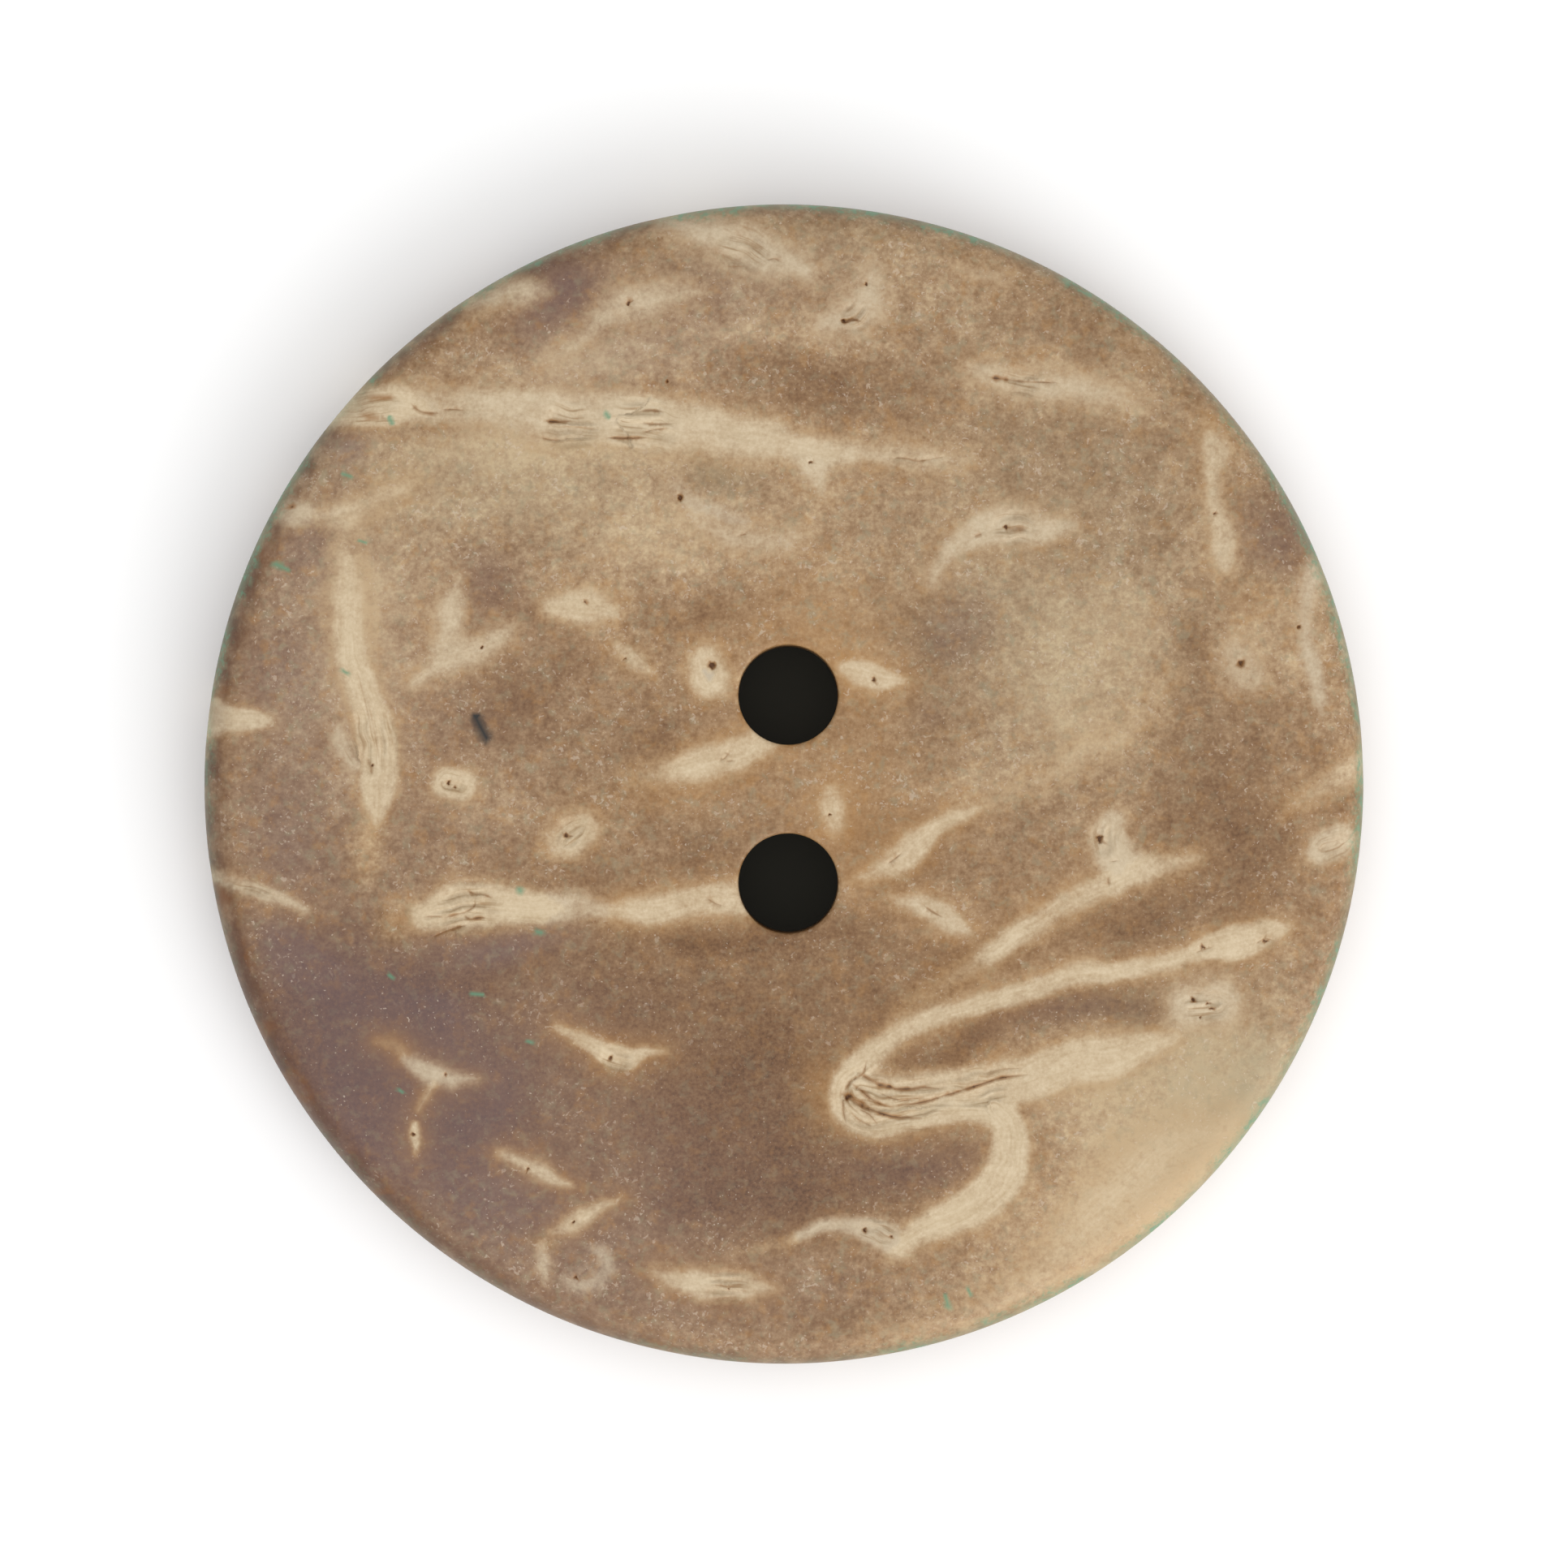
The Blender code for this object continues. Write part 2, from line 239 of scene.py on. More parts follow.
# Each row is a crack's half width and depth, then the points of its line.
SPLIT_ROWS = (
    # The upper band's broken fibres.
    (0.036, 0.042, (-9.04, 8.29), (-8.85, 8.35), (-8.55, 8.34), (-8.28, 8.36)),
    (0.03, 0.036, (-9.06, 7.98), (-8.82, 7.97)), (0.032, 0.038, (-9.04, 7.88), (-8.8, 7.88), (-8.54, 7.85)),
    (0.04, 0.045, (-7.99, 8.15), (-7.9, 8.06), (-7.75, 7.98), (-7.45, 7.96)),
    (0.018, 0.028, (-7.35, 8.03), (-7.1, 8.04), (-6.88, 8.02)),
    (0.034, 0.05, (-5.12, 7.8), (-4.9, 7.77), (-4.6, 7.79)),
    (0.018, 0.03, (-5.2, 7.43), (-5.0, 7.38), (-4.82, 7.39)),
    (0.014, 0.02, (-4.75, 7.68), (-4.4, 7.66), (-4.0, 7.6)),
    (0.026, 0.042, (-3.78, 7.43), (-3.4, 7.42), (-2.98, 7.43)),
    (0.026, 0.042, (-3.06, 8.01), (-2.85, 8.02), (-2.6, 7.99)),
    (0.018, 0.03, (-3.05, 7.74), (-2.7, 7.72), (-2.4, 7.73)),
    (0.018, 0.03, (-3.0, 7.54), (-2.8, 7.6), (-2.5, 7.63)),
    (0.018, 0.028, (2.34, 6.98), (2.6, 6.99), (2.9, 6.93), (3.42, 7.02)),
    # The top patches.
    (0.018, 0.028, (-1.28, 11.83), (-1.14, 11.74), (-0.98, 11.86)),
    (0.018, 0.028, (-0.36, 11.25), (-0.2, 11.28), (-0.09, 11.22)),
    (0.014, 0.021, (-1.23, 11.11), (-0.88, 11.11)),
    (0.028, 0.041, (1.2, 9.98), (1.3, 9.9), (1.45, 9.97), (1.66, 9.93)),
    (0.05, 0.05, (4.44, 8.72), (4.6, 8.7), (4.85, 8.68)),
    (0.018, 0.033, (4.75, 8.69), (5.2, 8.64), (5.87, 8.61)),
    (0.06, 0.03, (4.74, 5.52), (4.95, 5.49), (5.22, 5.47)), (0.034, 0.03, (4.08, 5.3), (4.25, 5.37)),
    (0.016, 0.028, (-0.95, 5.33), (-0.8, 5.37)),
    # The long vein on the left.
    (0.014, 0.017, (-9.15, 2.4), (-8.95, 1.6), (-8.82, 0.95)),
    (0.014, 0.017, (-8.95, 1.9), (-8.78, 1.1), (-8.68, 0.5)),
    (0.032, 0.028, (-8.95, 0.55), (-8.87, 0.37), (-8.84, 0.2)),
    (0.014, 0.017, (-12.1, -2.0), (-11.5, -2.18), (-10.9, -2.4)),
    (0.024, 0.033, (-4.76, -1.03), (-4.7, -1.13), (-4.52, -1.12)),
    # The big level vein's broken head.
    (0.028, 0.038, (-6.79, -2.28), (-6.68, -2.36), (-6.45, -2.38), (-6.27, -2.44)),
    (0.026, 0.038, (-6.63, -2.48), (-6.65, -2.63), (-6.85, -2.75), (-7.05, -2.8), (-7.26, -2.86)),
    (0.038, 0.046, (-6.86, -2.83), (-6.74, -2.9), (-6.6, -2.88), (-6.42, -2.86)),
    (0.016, 0.028, (-7.7, -2.85), (-7.5, -2.84), (-7.3, -2.86)),
    (0.026, 0.042, (-7.55, -3.3), (-7.3, -3.18), (-7.0, -3.08), (-6.84, -3.04)),
    (0.018, 0.025, (-1.67, -2.44), (-1.5, -2.55), (-1.32, -2.62)),
    # Around the holes.
    (0.018, 0.028, (-1.38, 0.5), (-1.26, 0.56), (-1.18, 0.68)), (0.018, 0.028, (-1.25, 0.48), (-1.08, 0.5)),
    (0.02, 0.03, (2.25, -1.7), (2.36, -1.62), (2.52, -1.49)),
    (0.022, 0.032, (3.02, -2.62), (3.15, -2.72), (3.38, -2.85)),
    # The loop: its long splits and the fan of loose fibres at its bend.
    (0.036, 0.046, (1.72, -6.24), (1.95, -6.38), (2.15, -6.48), (2.45, -6.54), (2.75, -6.54), (3.0, -6.51),
     (3.3, -6.54)),
    (0.055, 0.05, (1.6, -6.2), (1.85, -6.34), (2.15, -6.48), (2.4, -6.53)),
    (0.075, 0.06, (1.22, -6.64), (1.4, -6.7), (1.6, -6.84), (1.8, -6.94)),
    (0.04, 0.048, (1.38, -6.38), (1.62, -6.55), (1.82, -6.72), (2.05, -6.86), (2.35, -6.95)),
    (0.036, 0.046, (1.24, -6.68), (1.5, -6.8), (1.75, -6.95), (2.0, -7.04), (2.3, -7.13), (2.6, -7.16),
     (2.95, -7.17)),
    (0.036, 0.048, (2.45, -6.9), (2.75, -6.87), (3.05, -6.81), (3.4, -6.7), (3.7, -6.61), (4.05, -6.5),
     (4.4, -6.39), (4.7, -6.3), (5.21, -6.24)),
    (0.018, 0.03, (2.0, -6.6), (2.3, -6.74), (2.6, -6.78), (3.0, -6.72)),
    (0.014, 0.021, (4.3, -6.22), (4.7, -6.12), (5.1, -6.1)),
    (0.022, 0.036, (1.27, -6.7), (1.27, -7.0), (1.33, -7.28)),
    (0.026, 0.036, (1.76, -5.96), (1.7, -6.2), (1.45, -6.38), (1.27, -6.62)),
    (0.02, 0.033, (1.62, -6.98), (1.84, -7.1), (2.0, -7.3)),
    (0.016, 0.025, (1.4, -7.0), (1.6, -7.2), (1.9, -7.36)),
    # The lower right.
    (0.024, 0.028, (6.7, -1.05), (6.8, -1.2), (6.95, -1.3)), (0.02, 0.028, (7.02, -1.67), (7.15, -1.65)),
    (0.032, 0.036, (6.95, -1.98), (6.97, -2.17)), (0.02, 0.028, (8.72, -4.55), (8.85, -4.66)),
    (0.018, 0.028, (9.05, -4.68), (9.2, -4.72)),
    (0.018, 0.025, (10.15, -3.42), (10.33, -3.32), (10.5, -3.36)),
    (0.014, 0.021, (8.85, -3.62), (9.0, -3.56), (9.2, -3.5)),
    (0.016, 0.021, (11.65, -1.15), (11.8, -1.3), (12.0, -1.38)),
    (0.016, 0.021, (-1.4, -10.74), (-1.22, -10.8), (-1.05, -10.76)),
)
SPLITS = [Split(*row[:2], line=row[2:]) for row in SPLIT_ROWS]

# Green polish caught in scratches of the face: half width, then the points of the line.
SMEAR_ROWS = (
    (0.035, (-6.7, -4.5), (-6.45, -4.52)), (0.035, (-8.47, -4.1), (-8.41, -4.15)),
    (0.035, (-5.49, -5.52), (-5.43, -5.54)), (0.03, (-8.24, -6.58), (-8.18, -6.62)),
    (0.06, (-8.47, 7.86), (-8.42, 7.76)), (0.07, (-5.68, -2.26), (-5.65, -2.3)),
    (0.05, (-5.3, -3.17), (-5.2, -3.19)), (0.055, (-3.82, 7.95), (-3.77, 7.88)),
    (0.04, (-10.98, 4.72), (-10.8, 4.66), (-10.65, 4.6)), (0.035, (-10.2, 6.04), (-10.16, 5.98)),
    (0.04, (3.46, -10.98), (3.53, -11.2)), (0.03, (3.95, -10.85), (4.0, -10.95)),
    (0.035, (-9.48, 6.66), (-9.3, 6.6)), (0.025, (-9.1, 5.22), (-8.98, 5.18)),
    (0.03, (-9.45, 2.42), (-9.38, 2.38)),
)
SMEARS = [Split(row[0], 0.0, line=row[1:]) for row in SMEAR_ROWS]

# One dark splinter grown into the shell.
SLATE_SPLINTERS = [Split(0.12, 0.0, line=((-6.6, 1.4), (-6.5, 1.2), (-6.38, 0.98)))]

# Pores as (x, y, radius): the cut ends of single tubes.
PORES = (
    (-6.03, 10.5, 0.06), (-3.35, 10.31, 0.05), (-2.51, 8.64, 0.05), (1.75, 10.73, 0.05), (1.27, 9.95, 0.07),
    (9.22, 5.82, 0.04), (11.05, 3.37, 0.07), (4.77, 5.52, 0.055), (9.8, 2.58, 0.12), (-2.23, 6.14, 0.09),
    (0.57, 6.89, 0.05), (-10.62, 5.96, 0.06), (-6.47, 2.93, 0.05), (-4.3, 3.9, 0.035), (-1.55, 2.55, 0.11),
    (-3.4, 2.7, 0.04), (-7.2, 0.02, 0.05), (-7.05, -0.08, 0.04), (-4.68, -1.1, 0.06), (1.92, 2.25, 0.08),
    (0.99, -0.66, 0.05), (6.77, -1.18, 0.1), (12.29, 0.29, 0.05), (9.0, -3.48, 0.04), (10.33, -3.37, 0.04),
    (1.38, -6.72, 0.09), (1.75, -9.57, 0.06), (-3.72, -5.89, 0.06), (-7.94, -7.54, 0.05),
    (-5.49, -8.26, 0.04), (-4.52, -9.4, 0.045), (-4.47, -10.61, 0.05), (8.79, -4.63, 0.05),
    (9.08, -4.72, 0.045), (9.19, -4.83, 0.045), (8.95, -5.0, 0.035), (11.85, -1.3, 0.05),
    (-1.2, -10.85, 0.04), (-8.85, 0.4, 0.05), (-7.28, -6.22, 0.035), (2.3, -9.7, 0.04),
)

# Where fibres stand torn and uneven, as (x, y, radius). The mesh is finer here.
TORN_AREAS = (
    (1.75, -6.8, 0.75), (2.9, -6.85, 0.7), (4.2, -6.5, 0.6), (-6.8, -2.65, 0.7), (-8.8, 8.05, 0.6),
    (-4.6, 7.65, 0.6), (-3.0, 7.7, 0.7), (-8.9, 0.9, 0.7), (-11.5, -2.1, 0.5), (11.85, -1.3, 0.4),
    (9.05, -4.75, 0.45), (-1.2, -10.8, 0.45), (2.0, -9.6, 0.4), (4.9, 5.55, 0.45), (6.85, -1.2, 0.35),
    (5.1, 8.68, 0.4), (-0.9, 11.5, 0.6), (1.5, 10.0, 0.35), (-3.6, -5.9, 0.35), (-4.6, -1.05, 0.35),
    (-7.15, 0.0, 0.35),
)

# The next three tables are soft-edged regions of the ground, as tilted ellipses: x and y of the centre, the
# half length along each of the ellipse's own axes, the tilt anticlockwise in degrees, and the amount.

# Lighter or darker ground. 0 adds nothing, 1 is a step from middle brown to the lightest tan.
TONES = (
    (-8.1, -5.6, 4.0, 3.2, -20, -0.5), (-6.0, -5.4, 2.2, 1.6, 0, 0.12), (-0.8, -7.2, 4.0, 2.6, 0, -0.3),
    (1.5, -8.6, 2.4, 1.2, 10, -0.12), (3.0, -8.0, 1.6, 0.8, 15, -0.13), (3.3, -5.7, 1.6, 0.4, 10, -0.28),
    (-1.5, -4.3, 4.0, 1.4, 0, -0.12), (1.7, -3.4, 1.6, 0.7, 0, -0.14), (-1.4, -3.4, 1.8, 0.4, 0, -0.3),
    (-1.6, -1.3, 1.0, 0.7, 0, -0.25), (7.0, -6.8, 1.8, 0.8, 10, 0.2), (-2.5, -10.8, 3.0, 0.8, -5, -0.1),
    (6.2, -4.9, 2.4, 0.45, 10, -0.38), (8.8, -7.7, 2.4, 4.4, -42, 0.5), (7.8, -2.85, 1.8, 0.5, 15, -0.3),
    (8.6, -6.0, 1.6, 0.9, 0, 0.06), (7.6, -6.7, 0.9, 0.6, 20, -0.12), (5.8, -8.3, 0.6, 1.5, -20, -0.08),
    (5.6, -9.9, 2.4, 1.0, 35, 0.12), (9.8, -1.2, 1.8, 2.4, 20, -0.25), (0.6, 6.1, 1.6, 0.8, 0, 0.12),
    (8.6, 2.9, 0.8, 0.8, 30, -0.22), (5.8, 2.6, 2.2, 2.6, 20, 0.3), (7.6, 3.6, 1.4, 1.2, -20, 0.15),
    (3.4, 3.2, 0.9, 1.0, 0, -0.25), (10.8, 5.4, 0.8, 1.2, 20, -0.2), (-6.0, 6.2, 3.4, 1.1, -3, 0.24),
    (-3.6, 7.3, 3.4, 0.6, 0, 0.24), (-2.5, 6.0, 2.6, 0.9, 0, 0.17), (-1.1, 6.6, 0.9, 0.35, -20, -0.2),
    (-3.0, 4.8, 1.5, 0.8, 0, 0.32), (-8.6, 4.0, 1.4, 2.4, 10, 0.22), (-7.2, 7.3, 2.8, 0.5, 0, 0.2),
    (-6.3, 4.0, 0.7, 0.5, 0, -0.14), (-6.6, 1.5, 1.2, 1.0, 0, -0.16), (0.9, 8.7, 1.9, 0.7, 0, -0.25),
    (-0.9, 9.75, 1.5, 0.4, -3, 0.25), (-3.8, 9.0, 1.6, 0.7, 0, 0.18), (-5.0, 8.9, 2.2, 0.6, 5, 0.2),
    (-4.9, 10.7, 1.0, 0.8, 30, -0.3), (0.4, 11.0, 2.6, 1.2, -10, 0.15), (5.6, 8.6, 2.6, 0.8, -5, 0.2),
    (3.3, 6.0, 1.4, 0.9, 0, 0.1), (1.1, 4.2, 1.3, 1.2, 0, 0.18), (2.5, -1.2, 1.2, 0.8, 0, -0.17),
    (10.6, 3.2, 1.0, 1.4, 0, 0.25), (-8.9, -1.2, 0.4, 0.8, 0, 0.25), (-9.2, 1.5, 1.3, 3.4, 0, 0.12),
    (-8.0, -2.8, 0.8, 0.8, 0, 0.25), (-4.5, -7.2, 1.6, 1.0, 0, 0.1), (-2.6, 1.4, 1.2, 0.8, 0, -0.1),
    (10.6, -4.6, 0.9, 0.8, 0, -0.1), (7.8, -4.6, 1.0, 0.5, 0, -0.12), (4.3, 0.1, 1.0, 0.6, 0, 0.12),
    (-3.4, 0.7, 1.8, 1.4, 0, -0.1), (-2.2, 9.1, 1.6, 0.7, 0, 0.12), (9.2, 4.6, 0.8, 0.8, 0, 0.15),
    (-3.6, -5.2, 1.6, 1.2, 0, -0.1), (-6.6, -7.6, 1.2, 0.8, 0, -0.14), (-1.6, 3.4, 1.6, 0.6, 0, -0.12),
    (1.6, 9.3, 1.0, 0.6, 0, 0.12), (7.5, 2.9, 0.8, 0.7, 0, 0.1), (3.9, -3.9, 1.8, 0.5, 28, -0.38),
    (-1.2, -9.0, 3.0, 0.7, 0, -0.15), (6.2, 1.6, 0.9, 0.7, 0, 0.12), (9.0, -2.7, 0.8, 0.5, 0, 0.12),
    (-9.4, 3.2, 1.2, 2.0, 0, 0.14), (-6.0, -0.2, 0.9, 0.8, 0, 0.14), (-4.6, -1.8, 0.9, 0.7, 0, -0.14),
    (3.0, 1.5, 0.8, 0.8, 0, -0.1), (-6.0, 2.4, 0.9, 0.7, 0, -0.12), (-4.6, 2.8, 0.9, 0.6, 0, -0.1),
    (-7.5, -4.3, 0.8, 0.6, 0, -0.1), (6.3, 4.7, 0.9, 0.7, 0, -0.14), (3.9, 10.4, 0.9, 0.6, 0, 0.07),
    (-2.9, 10.6, 0.8, 0.6, 0, 0.1), (3.2, -1.8, 0.8, 0.6, 0, -0.16), (-0.2, -5.8, 1.6, 0.8, 0, -0.09),
    (9.2, 6.2, 0.7, 0.9, 0, 0.1),
)

# Warmer, towards amber, or cooler, towards purple and grey.
WARMTHS = (
    (-8.6, 0.6, 3.6, 5.0, 0, -0.3), (-4.2, -9.8, 3.6, 2.0, 20, -0.5), (-9.2, -4.6, 2.8, 2.0, -25, -0.7),
    (-10.3, -3.7, 0.9, 0.5, -20, -0.9), (-7.5, -4.8, 1.1, 0.7, 0, -0.6), (-7.2, -7.4, 1.5, 1.2, 30, -0.8),
    (-9.0, -7.2, 2.2, 2.2, 0, -0.8), (-11.0, -1.2, 1.2, 1.6, 0, -0.5), (-2.0, -7.6, 4.5, 2.4, 0, -0.15),
    (1.8, -8.4, 2.6, 1.0, 10, -0.12), (-4.9, 10.7, 1.2, 0.9, 30, -0.9), (-9.4, 7.4, 0.5, 0.4, 20, -0.9),
    (-10.2, 5.4, 1.0, 1.6, 0, -0.6), (-10.8, 2.2, 1.2, 1.8, 10, -0.5), (-6.4, 4.1, 0.8, 0.7, 0, -0.35),
    (3.5, 3.4, 0.8, 0.9, 0, -0.5), (2.8, 1.4, 0.5, 0.5, 0, -0.4), (10.6, 5.4, 0.9, 0.8, 20, -0.5),
    (6.3, -4.9, 1.8, 0.4, 10, -0.4), (0.8, 3.3, 1.9, 1.6, 0, 0.95), (1.6, -0.4, 1.8, 2.2, 0, 0.7),
    (-2.4, -0.1, 1.6, 0.6, 15, 0.6), (-3.6, -2.8, 0.5, 0.4, 0, 0.9), (-8.1, -2.9, 0.5, 0.5, 0, 1.0),
    (-8.9, -1.2, 0.4, 0.8, 0, 0.7), (8.2, -8.2, 2.2, 4.2, -42, 0.3), (5.5, -2.9, 2.2, 1.0, 30, 0.3),
    (9.3, 7.9, 0.6, 0.6, 0, 0.6), (10.2, 3.9, 0.7, 0.5, 0, 0.5), (11.2, -0.3, 0.6, 0.4, 20, 0.6),
    (0.8, -6.6, 0.4, 0.9, 0, 0.7), (-5.2, -9.75, 0.3, 0.2, 0, 0.9), (-6.2, -9.0, 1.5, 1.2, 0, -0.7),
    (-5.4, -6.2, 3.2, 2.0, 0, -0.45), (-6.0, -3.4, 1.4, 0.5, 0, -0.8), (3.0, -8.0, 1.4, 0.7, 0, -0.3),
    (-3.6, 9.6, 2.8, 1.4, 10, -0.4), (-1.5, -11.0, 4.0, 1.0, 0, -0.35), (-1.0, 10.9, 2.4, 0.8, 0, -0.3),
)

# Greener.
GREENS = (
    (6.0, 5.0, 4.0, 5.0, 0, 0.35), (5.2, 2.6, 1.6, 2.0, 20, 0.2), (9.0, -6.4, 2.4, 2.4, 0, 0.7),
    (10.2, -6.6, 0.8, 1.6, -35, 0.6), (-6.0, 6.6, 4.0, 1.6, 0, 0.4), (-1.1, 6.6, 0.9, 0.4, -20, 0.7),
    (0.0, 11.4, 3.0, 0.8, 0, 0.4), (-4.2, 7.7, 0.8, 0.3, 0, 0.8),
)


# --- Smooth random fields ---

LATTICE = 256  # the noise repeats after this many lumps


def smoothstep(low, high, value):
    share = np.clip((value - low) / (high - low), 0.0, 1.0)
    return share * share * (3 - 2 * share)


def lattice_noise(points, size, seed):
    """Smooth noise from 0 to 1 at (x, y) points, with lumps about `size` mm across."""
    table = np.random.default_rng(seed).random((LATTICE, LATTICE))
    scaled = points / size + 100.0
    cell = np.floor(scaled).astype(int)
    share = scaled - cell
    share = share * share * (3 - 2 * share)
    left, low = cell[:, 0] % LATTICE, cell[:, 1] % LATTICE
    right, high = (left + 1) % LATTICE, (low + 1) % LATTICE
    bottom = table[left, low] * (1 - share[:, 0]) + table[right, low] * share[:, 0]
    top = table[left, high] * (1 - share[:, 0]) + table[right, high] * share[:, 0]
    return bottom * (1 - share[:, 1]) + top * share[:, 1]


def wander(points, size, reach, seed):
    """The points, each moved by up to `reach` mm, so that outlines through them wobble."""
    shift = np.stack([lattice_noise(points, size, seed), lattice_noise(points, size, seed + 1)], axis=1)
    return points + (shift - 0.5) * 2 * reach


# --- Lines and distances ---


def flowing(route, step):
    """A smooth curve through the route's points, about `step` mm between its own points (Catmull-Rom)."""
    knots = np.array(route, float)
    ends = np.vstack([2 * knots[0] - knots[1], knots, 2 * knots[-1] - knots[-2]])
    pieces = []
    for before, start, stop, after in zip(ends, ends[1:], ends[2:], ends[3:]):
        count = max(2, math.ceil(np.linalg.norm((stop - start)[:2]) / step))
        t = np.arange(count)[:, None] / count
        pieces.append(
            0.5 * (2 * start + (stop - before) * t + (2 * before - 5 * start + 4 * stop - after) * t**2
                   + (3 * start - before - 3 * stop + after) * t**3)
        )
    pieces.append(knots[-1:])
    return np.vstack(pieces)


def nearest_on(line, points):
    """For each point: how far off the line is, its nearest segment's passed share and index, and the side."""
    start, along = line[:-1, :2], np.diff(line[:, :2], axis=0)
    length_squared = (along**2).sum(1)
    offset = points[:, None, :] - start[None]
    share = np.clip((offset * along[None]).sum(2) / length_squared, 0, 1)
    gap = offset - share[:, :, None] * along[None]
    distance = np.hypot(gap[:, :, 0], gap[:, :, 1])
    index = distance.argmin(1)
    rows = np.arange(len(points))
    cross = along[index, 0] * offset[rows, index, 1] - along[index, 1] * offset[rows, index, 0]
    return distance[rows, index], share[rows, index], index, np.sign(cross)


def away_from(centre, points):
    """Each point's distance from the centre."""
    return np.hypot(points[:, 0] - centre[0], points[:, 1] - centre[1])


def close_to(line, points, reach):
    """Indices of the points inside the line's box, grown by `reach`."""
    low, high = line[:, :2].min(0) - reach, line[:, :2].max(0) + reach
    return np.flatnonzero(((points > low) & (points < high)).all(1))


# --- The pattern's fields ---

# A vein, in mm: it is drawn a little fatter than its route says, stains the brown beside it (the halo) and
# lightens what lies further out (the glow). Its fibres start STREAK_GAP further along the streak pattern than
# those of the vein before it.
FATTER = 1.15
FATTER_BY = 0.015
FADE = 1.2
HALO_REACH = 0.25
GLOW_REACH = 0.6
GLOW = 0.12
VEIN_REACH = 1.8
VEIN_STEP = 0.15
STREAK_GAP = 7.0

# A crack narrows over a sixth of its length at either end. Its painted shade fades between these shares of
# its width.
NARROWING = 6
SHADE_OUTER, SHADE_INNER = 1.7, 0.3
SPLIT_STEP = 0.06
FULL_SHADE_DEPTH = 0.06  # a crack this deep, in mm, would get as much painted shade as a pore
DEEPEST_CRACK_SHADE = 0.85  # and no crack's painted shade is darker than this

PATCH_FALL = 1.2  # how fast a region of the ground fades outwards


def vein_fields(points):
    """How cream, amber and grey each point is, its nearness to veins, and its place in its vein's flow."""
    count = len(points)
    clear = np.ones(count)
    fields = {name: np.zeros(count) for name in ("amber", "grey", "along", "across", "glow")}
    best = np.zeros(count)
    wobbly = wander(wander(points, 0.9, 0.09, 11), 0.3, 0.04, 21)
    softness = 0.6 + 0.9 * lattice_noise(points, 1.2, 41)
    lightness = 0.85 + 0.25 * lattice_noise(points, 0.9, 43)
    offset_along = 0.0
    for vein in VEINS:
        line = flowing(vein.route, VEIN_STEP)
        near = close_to(line, points, VEIN_REACH)
        distance, share, index, side = nearest_on(line, wobbly[near])
        half = line[index, 2] * (1 - share) + line[index + 1, 2] * share
        gap = distance - FATTER * half - FATTER_BY
        fade = FADE * vein.soft * softness[near]
        cover = np.minimum(vein.light * lightness[near], 1) * (1 - smoothstep(-fade, fade, gap))
        clear[near] *= 1 - cover
        halo = vein.amber * vein.light * np.exp(-np.maximum(gap, 0) / HALO_REACH)
        fields["amber"][near] = np.maximum(fields["amber"][near], halo)
        glow = vein.light * np.exp(-np.maximum(gap, 0) / GLOW_REACH)
        fields["glow"][near] = np.maximum(fields["glow"][near], glow)
        kept = cover > best[near]
        nearer = near[kept]
        travelled = np.concatenate([[0], np.cumsum(np.hypot(*np.diff(line[:, :2], axis=0).T))])
        fields["grey"][nearer] = vein.grey
        fields["along"][nearer] = (offset_along + travelled[index] + share * VEIN_STEP)[kept]
        fields["across"][nearer] = (distance * side)[kept]
        best[near] = np.maximum(best[near], cover)
        offset_along += STREAK_GAP
    fields["vein"] = 1 - clear
    return fields


def patch_field(points, patches):
    """The sum of the soft-edged regions at each point."""
    total = np.zeros(len(points))
    wobbly = wander(points, 1.6, 0.35, 31)
    for x, y, half_length, half_width, tilt, amount in patches:
        cosine, sine = math.cos(math.radians(tilt)), math.sin(math.radians(tilt))
        offset = wobbly - np.array((x, y))
        first = (offset[:, 0] * cosine + offset[:, 1] * sine) / half_length
        second = (-offset[:, 0] * sine + offset[:, 1] * cosine) / half_width
        total += amount * np.exp(-PATCH_FALL * (first**2 + second**2))
    return total


def opening_fields(points):
    """How deep each point lies in a split or pore, in mm, and how much painted shade that depth gives it."""
    depth = np.zeros(len(points))
    painted_shade = np.zeros(len(points))
    for split in SPLITS:
        line = flowing(split.line, SPLIT_STEP)
        near = close_to(line, points, 4 * split.width)
        if len(near) == 0:
            continue
        distance, share, index, _ = nearest_on(line, points[near])
        travelled = (index + share) / (len(line) - 1)
        taper = np.clip(NARROWING * travelled, 0, 1) * np.clip(NARROWING * (1 - travelled), 0, 1)
        taper = (0.3 + 0.7 * taper) * (0.6 + 0.7 * lattice_noise(points[near], 0.12, 81))
        cut = np.clip(1 - distance / (split.width * taper), 0, 1)
        depth[near] = np.maximum(depth[near], cut * split.depth * taper)
        # Painted shade along the crack, darker the deeper the crack.
        crack_shade = smoothstep(SHADE_OUTER, SHADE_INNER, distance / (split.width * taper)) * taper
        crack_shade *= min(DEEPEST_CRACK_SHADE, split.depth / FULL_SHADE_DEPTH)
        painted_shade[near] = np.maximum(painted_shade[near], crack_shade)
    ragged = wander(points, 0.07, 0.035, 91)
    for x, y, radius in PORES:
        distance = away_from((x, y), ragged)
        cut = smoothstep(0.95 * radius, 0.4 * radius, distance)
        depth = np.maximum(depth, cut * radius)
        # Painted shade in the pore.
        painted_shade = np.maximum(painted_shade, smoothstep(1.15 * radius, 0.4 * radius, distance))
    return depth, painted_shade


# --- The piece's mesh ---


def circle(centre, radius, steps):
    angles = np.arange(steps) * 2 * math.pi / steps
    return np.stack([centre[0] + radius * np.cos(angles), centre[1] + radius * np.sin(angles)], axis=1)


